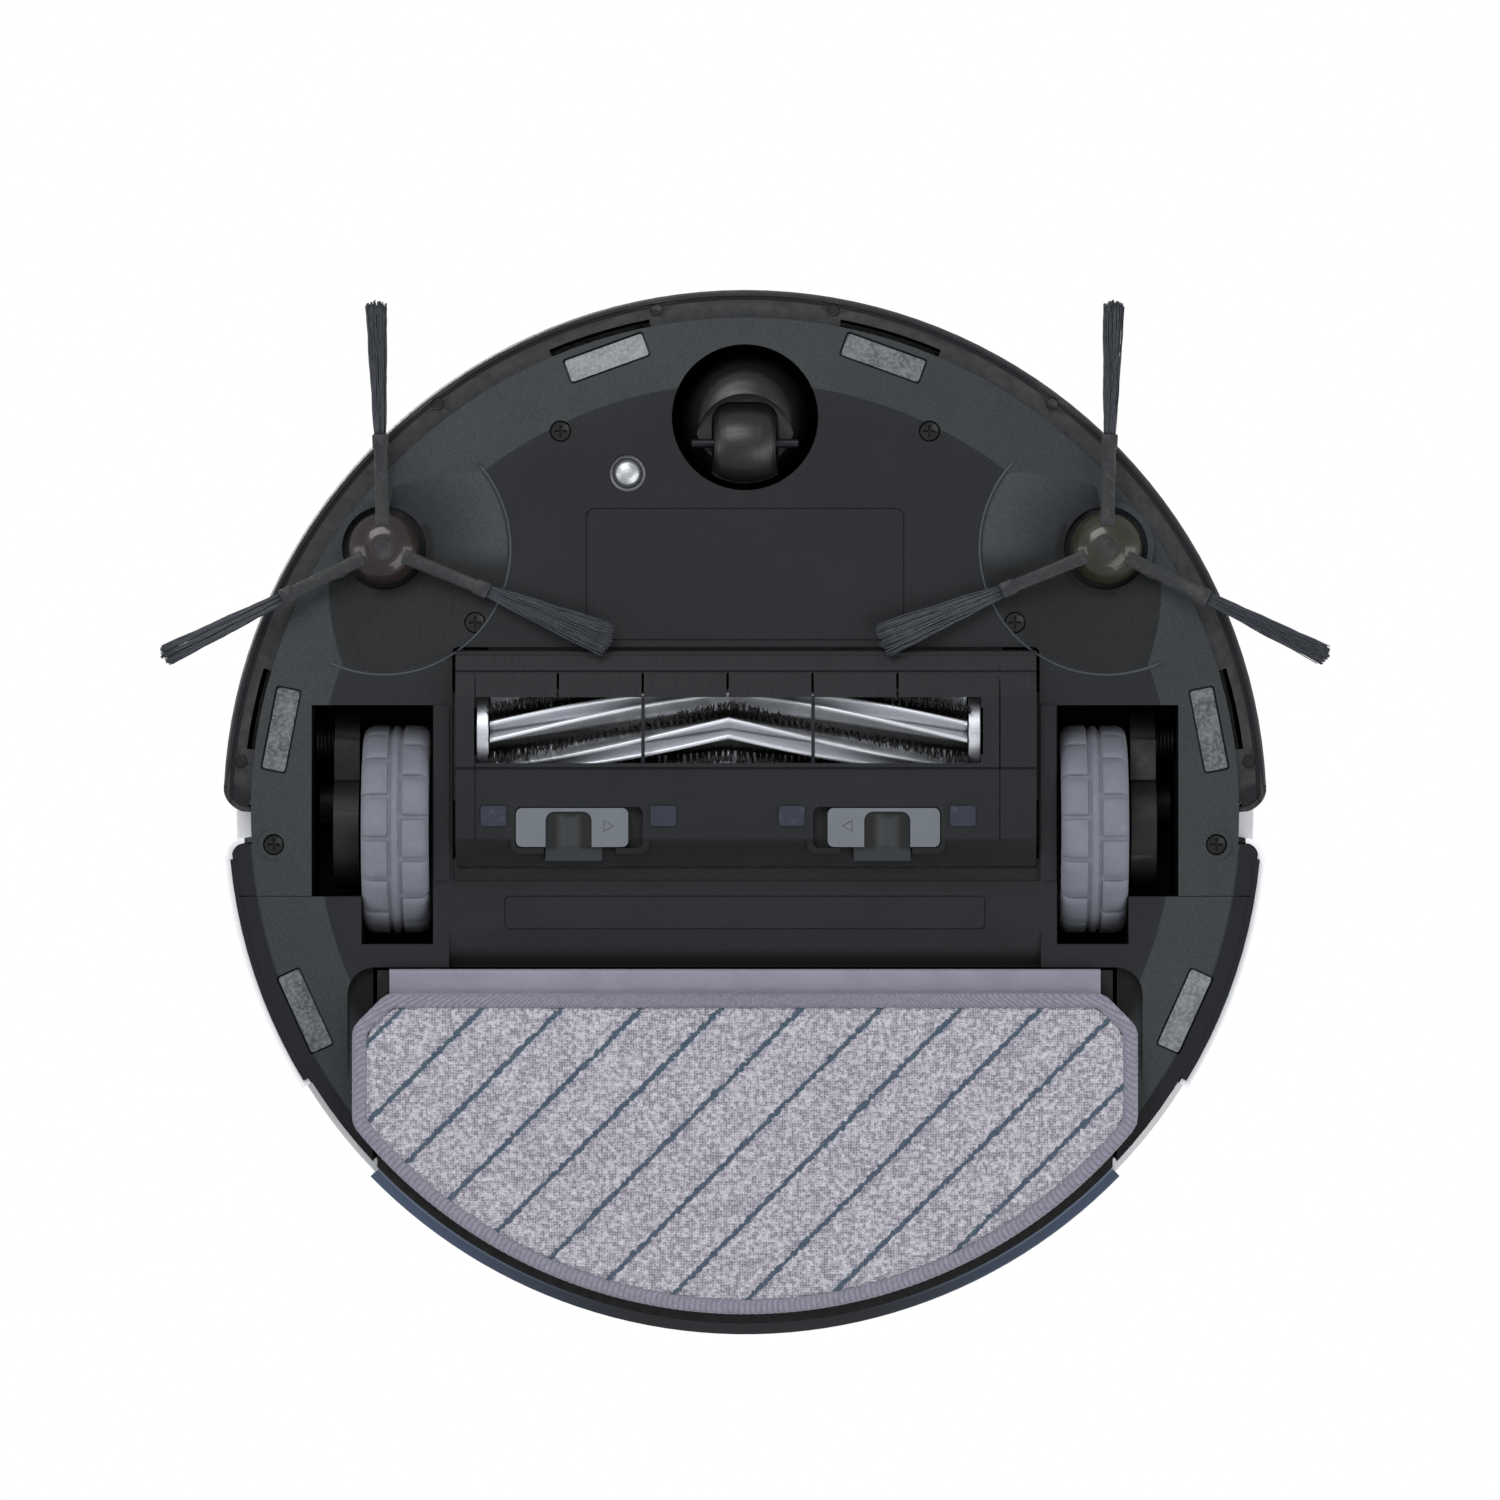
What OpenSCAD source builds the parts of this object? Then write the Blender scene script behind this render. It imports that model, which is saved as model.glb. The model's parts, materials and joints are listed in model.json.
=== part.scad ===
// Round robot vacuum cleaner with a mopping pad, standing on its own wheels.
// Millimetres, +Z up, origin on the floor under the middle of the body.
// The front, with the bumper and the caster, faces -Y; the mop is at +Y.

/* [Body] */
// Outer radius of the bumper and of the rear shell
body_r = 175; // [174.5:0.25:175.5]
// Height of the flat underside above the floor
belly_z = 9.5; // [9.3:0.1:9.7]
// Radius at which the flat underside turns into the sloped rim band
flat_r = 143.5; // [142:0.5:144.5]
// Outer radius of the sloped rim band
band_r = 165.5; // [165:0.25:165.75]
// Rise of the sloped rim band from its inner to its outer edge
band_rise = 4.5; // [4:0.1:4.6]
// Height of the underside of the top cover
deck_z = 76.5; // [76.3:0.1:76.8]
// Thickness of the top cover and of the lid
cover_t = 3; // [2.6:0.1:3.2]
// Height of the top of the laser turret
turret_top = 93.6; // [92:0.2:95]

/* [Drive wheels] */
// Radius of a drive wheel over its tread
wheel_r = 35; // [34.5:0.1:35]
// Width of a tyre
tyre_w = 22.5; // [21.5:0.1:22.6]
// Distance of a wheel's middle from the centre line
wheel_x = 117; // [116.8:0.1:117.2]
// Place of the wheel axle behind the body's centre
wheel_y = 6; // [5.5:0.1:6.5]
// Place of the swing arm's pivot, ahead of the body's centre
arm_pivot_y = -24; // [-24.2:0.1:-23.5]
// Height of the swing arm's pivot
arm_pivot_z = 38; // [37.5:0.1:39]

/* [Caster] */
// Distance of the caster's swivel axis ahead of the centre
caster_y = 132; // [131:0.25:133]
// Radius of the round socket that holds the caster
socket_r = 24.5; // [24.4:0.1:25]
// Radius of the caster wheel
caster_wheel_r = 12.5; // [12.3:0.1:12.6]
// Trail of the wheel axle behind the swivel axis
caster_trail = 8.7; // [8.4:0.1:8.8]

/* [Main brush] */
// Place of the roller's axis, ahead of the centre
roller_y = -27; // [-27.2:0.1:-26.8]
// Height of the roller's axis
roller_z = 18.3; // [18.2:0.1:18.5]
// Radius of the roller over its bristles
roller_r = 16.5; // [16:0.1:16.6]
// Left end of the roller
roller_x0 = -89.7; // [-89.8:0.1:-89.5]
// Right end of the roller
roller_x1 = 78.7; // [78.5:0.1:78.8]

/* [Side brushes] */
// Distance of a side brush's axis from the centre line
hub_x = 120.8; // [120.5:0.1:121]
// Distance of a side brush's axis ahead of the centre
hub_y = 88.3; // [88:0.1:88.5]
// Reach of the rubber arms from the axis
arm_reach = 38; // [36:0.5:38]
// Reach of the bristle tips from the axis
bristle_reach = 84; // [78:0.5:84]

/* [Mop] */
// Radius of the mop pad's round rear edge
pad_r = 166.5; // [165.5:0.25:166.75]
// Half of the mop pad's width
pad_half_w = 130; // [128:0.5:130.5]
// Place of the mop pad's front edge
pad_y = 61.5; // [61.2:0.1:62]
// Thickness of the mop pad
pad_t = 6; // [5:0.1:6]

/* [Hidden] */
$fn = 96;

// clearances: between moving pieces, of a running pin in its bore, of a cut past a face
gap = 0.4;
run = 0.05;
eps = 0.1;
skin = 2.8;        // thickness of the chassis plate
wall_r = 158.5;    // outside of the chassis's upright wall
wall_t = 2.5;

band_top = belly_z + band_rise + 2.5;     // top of the rim band's edge
bumper_z = band_top + 0.5;                // lower edge of the bumper
bumper_flange_z = band_top + 1.5;         // underside of the bumper's inner flange
bumper_top = deck_z - 0.7;
shell_t = 3.5;                            // thickness of the rear shell's side
shell_a = 4.9;                            // angle where the rear shell's wall starts
shell_turn_r = 6;                         // outer radius of its rounded start
shell_turn_x = body_r - shell_turn_r - 1.2;
shell_edge = 1.8;                         // width of the shell's rim seen from below
shell_y = 14.8;                           // middle of that round, behind the centre
bumper_turn_r = 9;                        // outer radius of the bumper's rounded ends
bumper_turn_y = -8.7;                     // middle of that round
step_a = 32;                              // angle where the dark step starts
tank_a = 43.9;                            // angle where the tank's face starts
tank_top = 48;                            // top of the tank's face
bay_x = 124.5;                            // half width of the tank bay
pad_bay_x = 133;                          // half width of the mop's shallow recess
pad_bay_z = 13;                           // ceiling of that recess beside the tank
bay_y = 52;                               // front wall of the tank bay
bay_z = 50;                               // ceiling of the tank bay

well_x0 = 104.3;   // wheel well: inner wall, outer wall and the narrow rear part
well_x1 = 145;
well_xm = 128.3;
well_y0 = -35.7;
well_y1 = 28.3;
well_y2 = 44.3;
well_top = 72.5;

cover_x0 = -96.7;  // brush cover outline
cover_x1 = 97.3;
cover_y0 = -54;
cover_y1 = 17.7;
cover_top = 11.2;
plate_z = 4.6;     // underside of the brush cover's flat plate
window_y0 = -38.3;
window_y1 = -16.3;
latch_w = 37.5;    // a latch: width, depth, travel and place along X
latch_d = 13;
latch_travel = 4;
latch_x = 76.5;
latch_y = -1.3;
cover_mid = -5.7;  // middle of the suction window and of the two latches
bead_r = 1.2;      // round front edge that the cover swings about
bead_z = 7;

turret_y = 102;    // laser turret
turret_r = 40;
button_y = 158.6;  // distance of the power button ahead of the centre
lid_r = 150;       // lid: outline radius, rear edge and hinge axis
lid_y = 52;
hinge_y = 57;
hinge_z = 77;

arm_z = 4.5;       // side brush arms: underside, thickness and width
arm_t = 2.5;
arm_w = 4.7;
pod_r = 42.3;      // side brush pod: radius of the dished floor, of its ring and its pit
pit_r = 14;
ring_r = 15.8;
pit_top = 15.4;

dark = "#2e2f32";
black = "#17181a";
silver = "#c9ccd2";
steel = "#a8abb0";
lilac = "#9c97a6";

// height of the underside at a distance r from the centre
function band_z(r) = belly_z + max(0, r - flat_r) * band_rise / (band_r - flat_r);

// points of a rectangle w x h about the origin with corners rounded to r
function round_rect(w, h, r, n = 5) = [
    for (c = [[1, 1, 0], [-1, 1, 90], [-1, -1, 180], [1, -1, 270]])
        for (i = [0 : n])
            [c[0] * (w / 2 - r) + r * cos(c[2] + 90 * i / n),
             c[1] * (h / 2 - r) + r * sin(c[2] + 90 * i / n)]
];

module slab(x0, x1, y0, y1, z0, z1) {
    translate([x0, y0, z0])
        cube([x1 - x0, y1 - y0, z1 - z0]);
}

module round_slab(x0, x1, y0, y1, z0, z1, r) {
    translate([(x0 + x1) / 2, (y0 + y1) / 2, z0])
        linear_extrude(z1 - z0)
            polygon(round_rect(x1 - x0, y1 - y0, r));
}

// ring sector about the body's centre, angles measured from +X towards +Y
module sector(r0, r1, a0, a1, z0, z1) {
    rotate([0, 0, a0])
        rotate_extrude(angle = a1 - a0)
            translate([r0, z0])
                square([r1 - r0, z1 - z0]);
}

module disc(x, y, r, z0, z1) {
    translate([x, y, z0])
        cylinder(h = z1 - z0, r = r);
}

// cylinder along X
module bar_x(x0, x1, y, z, r) {
    translate([x0, y, z])
        rotate([0, 90, 0])
            cylinder(h = x1 - x0, r = r);
}

module both() {
    children();
    mirror([1, 0, 0])
        children();
}

module side(s) {
    if (s > 0)
        children();
    else
        mirror([1, 0, 0])
            children();
}

// the left latch's place, or its mirror image beside the window's middle
module latch_side(s) {
    translate([cover_mid, 0, 0])
        side(s)
            translate([-cover_mid, 0, 0])
                children();
}

module both_latches() {
    latch_side(1)
        children();
    latch_side(-1)
        children();
}

// profile in (Y, Z) pulled along X
module along_x(x0, x1, points) {
    translate([x0, 0, 0])
        rotate([90, 0, 90])
            linear_extrude(x1 - x0)
                polygon(points);
}

// ---------------------------------------------------------------- chassis

// where the six screws of the underside are, right side first
screw_spots = [[61.7, -127.3], [90.3, -63.3], [157.8, 11]];

module on_band(x, y) {
    r = norm([x, y]);
    translate([x, y, band_z(r)])
        rotate([0, 0, atan2(y, x)])
            rotate([0, -atan(band_rise / (band_r - flat_r)), 0])
                children();
}

// cliff sensor places on the right: x, y, and turn from the tangent
window_spots = [[46.3, -152, 3], [155.3, -27.5, -1], [147.3, 66.7, 0]];

module window_shapes(w, l, z0, z1, r) {
    both()
        for (p = window_spots)
            on_band(p[0], p[1])
                rotate([0, 0, p[2]])
                    round_slab(-w / 2, w / 2, -l / 2, l / 2, z0, z1, r);
}

// fan-shaped dish around a side brush, on the right side
module pod_dish() {
    translate([hub_x, -hub_y, 0])
        intersection() {
            rotate_extrude()
                polygon([[0, belly_z - 3], [pod_r + 0.3, belly_z - 3], [pod_r, belly_z],
                         [ring_r, pit_top - 1.6], [0, pit_top - 1.6]]);
            translate([0, 0, belly_z - 4])
                linear_extrude(12)
                    polygon([[-3, -20], [-14, -27], [-27, -30.5], [-40, -34], [-50, 0],
                             [-40, 40], [0, 50], [14, 46], [20, 38], [22, 26], [22, 12],
                             [14, 10], [0, 0]]);
        }
}

// what lies at least `lift` above the flat underside and above the sloped band
module above_band(lift) {
    intersection() {
        children();
        rotate_extrude()
            polygon([[0, belly_z + lift], [flat_r, belly_z + lift],
                     [body_r, band_z(body_r) + lift], [body_r, 90], [0, 90]]);
    }
}

module chassis_profile() {
    rotate_extrude()
        polygon([[0, belly_z], [flat_r, belly_z], [band_r, belly_z + band_rise],
                 [band_r, band_top], [wall_r, band_top], [wall_r, deck_z],
                 [wall_r - wall_t, deck_z], [wall_r - wall_t, band_top - 0.8],
                 [flat_r - 1, belly_z + skin], [0, belly_z + skin]]);
}

module chassis_solids() {
    chassis_profile();
    both() {
        // flange under the rear shell and the dark step behind it
        sector(wall_r - 1.5, 171, shell_a, 80, band_top - 2.2, band_top + 1.8);
        sector(160, body_r - shell_edge, shell_a + 0.4, step_a - 0.6, band_top - 1.9,
               band_top - 0.5);
        intersection() {
            sector(wall_r - 1.5, 173.5, 3.2, shell_a + 0.5, band_top - 2.2, band_top + 1.8);
            union() {
                disc(shell_turn_x, shell_y, shell_turn_r - shell_edge - 0.3, 0, 40);
                slab(150, shell_turn_x, shell_y - shell_turn_r + shell_edge + 0.3, 20, 0, 40);
            }
        }
        sector(169, 170.7, step_a + 0.2, tank_a - 0.3, band_top + 0.6, deck_z);
        sector(wall_r - 0.7, 169.5, step_a + 0.6, step_a + 2, band_top + 0.3, deck_z);
        // wheel well
        above_band(1.1)
            union() {
                slab(well_x0 - 2.2, well_x1 + 2.5, well_y0 - 2.2, well_y1 + 2.2, 0, well_top + 2);
                slab(well_x0 - 2.2, well_xm + 2.2, well_y1, well_y2 + 2.2, 0, well_top + 2);
            }
        // rib between the wheel well and the roller
        round_slab(98.9, 104, well_y0, 23, belly_z - 0.9, belly_z + 1, 1);
        // side brush pod
        disc(hub_x, -hub_y, pit_r + 2, belly_z + 1, pit_top + 2);
        above_band(1.4)
            intersection() {
                translate([hub_x, -hub_y, belly_z + 1])
                    rotate_extrude()
                        polygon([[0, 0], [pod_r + 2, 0], [pod_r + 2, 2], [ring_r + 1, 6],
                                 [0, 6]]);
                disc(0, 0, wall_r - 1, belly_z, belly_z + 8);
            }
        for (p = screw_spots)
            disc(p[0], p[1], 5, belly_z + 2.8, 22);
    }
    // tank bay: front wall, sides, ceiling and the ramp ahead of it
    slab(-bay_x - 2, bay_x + 2, bay_y - 2.5, bay_y + 1, belly_z + 1, bay_z + 2);
    intersection() {
        disc(0, 0, wall_r - 1, bay_z - 1, bay_z + 2);
        slab(-bay_x - 2, bay_x + 2, bay_y - 1, 170, bay_z - 2, bay_z + 3);
    }
    both() {
        slab(bay_x - 1, bay_x + 2, bay_y - 1, 112, pad_bay_z, bay_z + 2);
        // walls and ceiling of the mop's shallow recess beside the tank
        above_band(0.8)
            union() {
                slab(bay_x, pad_bay_x + 2, bay_y - 2.5, bay_y + 1, 0, pad_bay_z + 2);
                slab(pad_bay_x - 1, pad_bay_x + 2, bay_y - 2.5, 98, 0, pad_bay_z + 2);
            }
        intersection() {
            disc(0, 0, 170, pad_bay_z, pad_bay_z + 2.5);
            slab(bay_x, pad_bay_x + 2, bay_y - 1, 120, pad_bay_z, pad_bay_z + 2.5);
        }
    }
    slab(-102, 102, 37, bay_y, belly_z, belly_z + 8);
}

module chassis_cuts() {
    // tank bay and the wider recess of the mop, both open to the rear
    slab(-bay_x, bay_x, bay_y, 190, -1, bay_z);
    round_slab(-pad_bay_x, pad_bay_x, bay_y, 190, -1, pad_bay_z, 9);
    // room under the power button
    disc(0, -button_y, 8, deck_z - 4, deck_z + 4);
    // ramp down to the bay and the shallow groove ahead of it
    along_x(-99, 99, [[39.3, belly_z - 1], [39.3, belly_z], [bay_y - 1, belly_z + 4],
                      [bay_y + 1, belly_z + 4], [bay_y + 1, belly_z - 1]]);
    difference() {
        round_slab(-80.5, 80.5, 28, 39.3, belly_z - 1, belly_z + 0.5, 1.5);
        round_slab(-80, 80, 28.5, 38.8, belly_z - 2, belly_z + 1, 1.2);
    }
    // roller bay and the step around it
    round_slab(cover_x0 - 1.2, cover_x1 + 1.2, cover_y0 - 1.1, cover_y1 + 1.2, 0, 16, 2);
    round_slab(cover_x0 - 1, cover_x1 + 1, cover_y1 - 1, cover_y1 + 5.5, 0, belly_z + 1, 1);
    // label panel
    difference() {
        round_slab(-53.3, 53.3, -101.7, -57.3, belly_z - 1, belly_z + 0.5, 3);
        round_slab(-52.8, 52.8, -101.2, -57.8, belly_z - 2, belly_z + 1, 2.6);
    }
    // caster socket and carpet sensor
    disc(0, -caster_y, socket_r, 0, 36.6);
    above_band(skin - 0.7)
        disc(0, -caster_y, socket_r + 2.6, 0, 36.6);
    disc(-39.3, -113.3, 6.3, 0, 30);
    both() {
        slab(well_x0, well_x1, well_y0, well_y1, 0, well_top);
        slab(well_x0, well_xm, well_y1 - 1, well_y2, 0, well_top);
        bar_x(140, 155, arm_pivot_y, arm_pivot_z, 3 + run);
        pod_dish();
        disc(hub_x, -hub_y, pit_r, 0, pit_top);
        disc(hub_x, -hub_y, 4, 0, 30);
        disc(hub_x, -hub_y, 11.6, pit_top + 2, 46);
        for (p = screw_spots) {
            disc(p[0], p[1], 3.6, 0, band_z(norm(p)) + 3);
            disc(p[0], p[1], 1.6, 0, 21);
        }
        // seam from the wheel well across the band
        intersection() {
            slab(well_xm, 172, 28.1, 28.5, 0, 20);
            rotate_extrude()
                polygon([[0, 0], [172, 0], [172, band_z(172) + 0.5], [flat_r, belly_z + 0.5],
                         [0, belly_z + 0.5]]);
        }
        // pockets for the charging contacts
        rotate([0, 0, (step_a + tank_a) / 2])
            slab(169.8, 172, -5, 5, 26, 38);
    }
    window_shapes(9.2, 28.8, -1, 1.5, 1.2);
}

module base_chassis() {
    color(dark)
        difference() {
            chassis_solids();
            chassis_cuts();
        }
}

// rounded start of the shell's wall, facing the bumper's end
module shell_start() {
    r = shell_turn_r;
    translate([shell_turn_x, shell_y, band_top])
        linear_extrude(deck_z - band_top)
            polygon(concat([for (a = [-90 : 15 : 0]) r * [cos(a), sin(a)]],
                           [[r - 0.3, 3.2], [r - 1.5, 3.2]],
                           [for (a = [0 : -15 : -90]) (r - shell_edge) * [cos(a), sin(a)]]));
}

module rear_shell() {
    color("#e9eaec")
        union() {
            both() {
                sector(body_r - shell_t, body_r, shell_a, step_a, band_top, tank_top + 1);
                shell_start();
            }
            sector(body_r - shell_t, body_r, shell_a, 180 - shell_a, tank_top + 0.6, deck_z);
        }
}

module top_cover() {
    color("#eceded")
        difference() {
            union() {
                // disc with a soft outer edge
                rotate_extrude()
                    polygon([[0, deck_z], [body_r - 1.4, deck_z], [body_r - 1, deck_z + 0.6],
                             [body_r - 1.6, deck_z + 2.1], [body_r - 3.4, deck_z + cover_t],
                             [0, deck_z + cover_t]]);
                // ledge that the lid rests on
                sector(lid_r - 4, lid_r + 2, 165, 375, deck_z - 2, deck_z + 0.5);
                // turret base
                disc(0, turret_y, turret_r, deck_z, deck_z + 6);
                both()
                    slab(48, 70, 53.5, 62, 73, deck_z + 1);
            }
            intersection() {
                disc(0, 0, lid_r + gap, deck_z - 5, 90);
                slab(-160, 160, -160, lid_y + 0.8, deck_z - eps, 90);
            }
            intersection() {
                disc(0, 0, lid_r - 4, deck_z - 5, deck_z + 5);
                slab(-160, 160, -160, lid_y + 0.8, deck_z - 4, deck_z + 5);
            }
            disc(0, turret_y, 34, 60, 90);
            disc(0, -button_y, 7, 60, 90);
            both() {
                slab(53.4, 64.6, 50, 60.4, 70, 90);
                bar_x(47, 71, hinge_y, hinge_z, 1.5 + run);
            }
        }
}

module turret_cap() {
    color("#303236")
        union() {
            // cap with a soft edge on four posts
            translate([0, turret_y, 0])
                rotate_extrude()
                    polygon([[0, turret_top - 3], [turret_r - 1, turret_top - 3],
                             [turret_r - 0.4, turret_top - 2.2], [turret_r - 1.2, turret_top - 0.6],
                             [turret_r - 3, turret_top], [0, turret_top]]);
            for (a = [45 : 90 : 315])
                translate([0, turret_y, 0])
                    rotate([0, 0, a])
                        translate([0, 0, deck_z + 6])
                            rotate([0, 0, -5])
                                rotate_extrude(angle = 10)
                                    translate([35.5, 0])
                                        square([3.5, turret_top - 2 - deck_z - 6]);
        }
}

module lidar_motor() {
    color(steel)
        difference() {
            union() {
                disc(0, turret_y, 30, 66, 69);
                disc(0, turret_y, 12, 54, 66.5);
            }
            disc(0, turret_y, 2 + run, 53, 70);
        }
}

module lidar_rotor() {
    color("#1f2023")
        difference() {
            union() {
                disc(0, turret_y, 2, 56, 71);
                disc(0, turret_y, 29, 70, 74);
                disc(0, turret_y, 31, 73.5, turret_top - 4.2);
            }
            // flat front with the two optical ports
            slab(-40, 40, turret_y - 40, turret_y - 25, 78, 100);
            for (x = [-11, 11])
                translate([x, turret_y - 26, 84])
                    rotate([-90, 0, 0])
                        cylinder(h = 9, r = 5);
        }
}

module dust_bin() {
    color("#5b5f66")
        difference() {
            union() {
                slab(-85, 85, 21.5, 48.5, 18, 73);
                slab(-85, 85, -28, 22, 48, 73);
            }
            slab(-83, 83, 23.5, 46.5, 20, 71);
            slab(-83, 83, -26, 24, 50, 71);
            // dust inlet and the air outlet behind the filter
            slab(-32, 32, 20, 25, 22.5, 36);
            slab(82, 86, 26, 44, 52, 69);
        }
}

module bin_filter() {
    color("#d9dbd3")
        union() {
            slab(85, 87, 24, 46, 50, 71);
            for (i = [0 : 8])
                slab(86.9, 92, 25.2 + i * 2.3, 26.4 + i * 2.3, 51.5, 69.5);
        }
}

module fan_housing() {
    color("#3b3d42")
        difference() {
            union() {
                disc(64, 98, 34, bay_z + 2.3, 69);
                slab(84, 96, 60, 98, bay_z + 2.3, 69);
            }
            disc(64, 98, 31.5, bay_z + 4.5, 66.5);
            disc(64, 98, 13, 66, 70);
            disc(64, 98, 2 + run, bay_z, 56);
            slab(86, 94, 58, 90, bay_z + 4.5, 66.5);
        }
}

module fan_impeller() {
    color("#8f949c")
        union() {
            disc(64, 98, 2, bay_z + 3, 64);
            disc(64, 98, 29, 56, 57.5);
            disc(64, 98, 8, 57, 64);
            for (a = [0 : 40 : 320])
                translate([64, 98, 0])
                    rotate([0, 0, a])
                        translate([7, 0, 57.2])
                            rotate([0, 0, 25])
                                slab(0, 20, -0.6, 0.6, 0, 6);
        }
}

module battery_pack() {
    color("#3d5e8c")
        union() {
            round_slab(-72, 72, -103, -58, belly_z + skin, 37, 3);
            slab(-20, -6, -58.5, -55.5, 20, 30);
        }
}

module main_board() {
    color("#1f6b45")
        union() {
            slab(-75, 75, -103, -58, 42, 43.6);
            for (x = [-70, 70])
                for (y = [-99, -62])
                    disc(x, y, 2.5, 37, 42.5);
            slab(-20, 0, -95, -75, 43.5, 46);
            slab(20, 34, -90, -76, 43.5, 45.5);
            slab(50, 66, -100, -92, 43.5, 50);
            slab(-66, -50, -100, -92, 43.5, 50);
        }
}

module brush_tunnel() {
    color(black)
        difference() {
            union() {
                slab(cover_x0, cover_x1, cover_y0, cover_y1, 11.6, 41);
                // flanges on top of the chassis plate
                slab(cover_x0 - 3.5, cover_x1 + 3.5, -40, cover_y1 + 3,
                     belly_z + skin, belly_z + skin + 2);
                slab(-86, 86, cover_y0 - 3, -40, belly_z + skin, belly_z + skin + 2);
            }
            // half-round room of the roller, open to the floor
            bar_x(roller_x0 - 0.8, roller_x1 + 0.8, roller_y, roller_z, 19.5);
            slab(roller_x0 - 0.8, roller_x1 + 0.8, roller_y - 19.5, roller_y + 19.5, 0, roller_z);
            // throat to the dust bin
            slab(-32, 32, roller_y + 8, cover_y1 + 5, 22.5, 36);
            // pocket of the gearbox at the right end, and corners left free
            slab(roller_x1 + 2.8, cover_x1 - 2, -46, 2, 0, 38);
            bar_x(roller_x0 - 4, roller_x1 + 5, roller_y, roller_z, 3 + run);
            slab(cover_x0 - 1, cover_x1 + 1, -4, cover_y1 - 2.2, 0, 38);
            slab(cover_x0 - 1, cover_x1 + 1, cover_y0 + 2.2, -49, 0, 38);
            // foremost and rear roof corners are taken off
            slab(-120, 120, cover_y0 - 1, -45, 30, 50);
        }
}

module brush_gearbox() {
    color("#55585e")
        difference() {
            slab(roller_x1 + 3.4, cover_x1 - 2.6, -45, -7, 13, 37);
            bar_x(roller_x1 + 2, roller_x1 + 14, roller_y, roller_z, 3 + run);
        }
}

module side_brush_motor(s) {
    color("#55585e")
        side(s)
            difference() {
                union() {
                    disc(hub_x, -hub_y, 10, pit_top + 2.3, 32);
                    translate([hub_x, -hub_y, 0])
                        rotate([0, 0, atan2(hub_y, -hub_x)])
                            slab(0, 26, -9, 9, pit_top + 2.3, 28);
                    translate([hub_x, -hub_y, 0])
                        rotate([0, 0, atan2(hub_y, -hub_x)])
                            disc(14, 0, 10, 27.5, 45);
                }
                disc(hub_x, -hub_y, 3 + run, 10, 27);
            }
}

module side_brush_motor_left() {
    side_brush_motor(-1);
}

module side_brush_motor_right() {
    side_brush_motor(1);
}

module caster_socket() {
    color("#101113")
        difference() {
            union() {
                above_band(skin - 0.3)
                    disc(0, -caster_y, socket_r + 2.2, 0, 36);
                disc(0, -caster_y, 6, 35.5, 42);
            }
            disc(0, -caster_y, socket_r + 0.4, 0, 33.5);
            disc(0, -caster_y, 3 + run, 30, 40);
        }
}

module cliff_windows() {
    color("#8b9094")
        window_shapes(7.8, 27.4, 0.2, 1.5, 0.9);
}

module carpet_sensor() {
    color(silver)
        translate([-39.3, -113.3, 0])
            rotate_extrude()
                polygon([[0, belly_z - 0.2], [2, belly_z], [3.8, belly_z + 0.8],
                         [5.2, belly_z + 2.6], [6.1, belly_z + 2.8], [6.1, 24], [0, 24]]);
}

module chassis_screws() {
    color("#3a3b3e")
        both()
            for (p = screw_spots) {
                z = band_z(norm(p));
                difference() {
                    union() {
                        disc(p[0], p[1], 3.1, z + 1.2, z + 3);
                        disc(p[0], p[1], 1.5, z + 2, 20);
                    }
                    for (a = [0, 90])
                        translate([p[0], p[1], z])
                            rotate([0, 0, a])
                                slab(-2, 2, -0.4, 0.4, 0, 2.2);
                }
            }
}

module charging_contacts() {
    color("#c8b27a")
        both()
            rotate([0, 0, (step_a + tank_a) / 2])
                slab(169.8, 170.6, -4.7, 4.7, 26.3, 37.7);
}

module bumper_switches() {
    color("#26282b")
        both()
            rotate([0, 0, -62])
                union() {
                    slab(wall_r, wall_r + 4, -7, 7, 40, 48);
                    slab(wall_r + 3.5, wall_r + 10, -4, -2.8, 42, 46);
                }
}

// ---------------------------------------------------------------- bumper

bumper_screw_spots = [[29.7, -168.3], [103, -136.7], [168.9, -16.7]];

module bumper() {
    color("#2a2b2e")
        bumper_ends();
    color("#2a2b2e")
        difference() {
            union() {
                // wall, with a rolled lower edge
                rotate([0, 0, 180])
                    rotate_extrude(angle = 180)
                        polygon([[173, bumper_z], [body_r - 0.8, bumper_z],
                                 [body_r, bumper_z + 1.6], [body_r, bumper_top - 2],
                                 [body_r - 0.8, bumper_top], [173, bumper_top]]);
                sector(163.2, 173.5, 180, 360, bumper_flange_z, bumper_flange_z + 2);
                sector(170, 173.5, 180, 360, bumper_top - 2.2, bumper_top);
            }
            // corners outside the rounded ends
            both()
                difference() {
                    slab(body_r - bumper_turn_r, 180, bumper_turn_y, 1, 0, 90);
                    disc(body_r - bumper_turn_r, bumper_turn_y, bumper_turn_r, 0, 90);
                }
            sector(173.7, 177, 217, 323, 42, 60);
            both()
                for (p = bumper_screw_spots) {
                    disc(p[0], p[1], 2.1, 0, bumper_flange_z + 0.9);
                    disc(p[0], p[1], 1.05, 0, bumper_flange_z + 5);
                }
            // the groove line near the outer edge
            sector(171.6, 172.2, 180, 360, 0, bumper_flange_z + 0.4);
            both() {
                // room for the ends of the flange beside the rear shell
                slab(160, 166.5, -3.5, 1, 0, 40);
                // crescent slots along the inner edge of the flange
                sector(160, 168.2, 281, 293, 0, 40);
                sector(160, 168.4, 343.4, 352.8, 0, 40);
            }
        }
}

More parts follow.
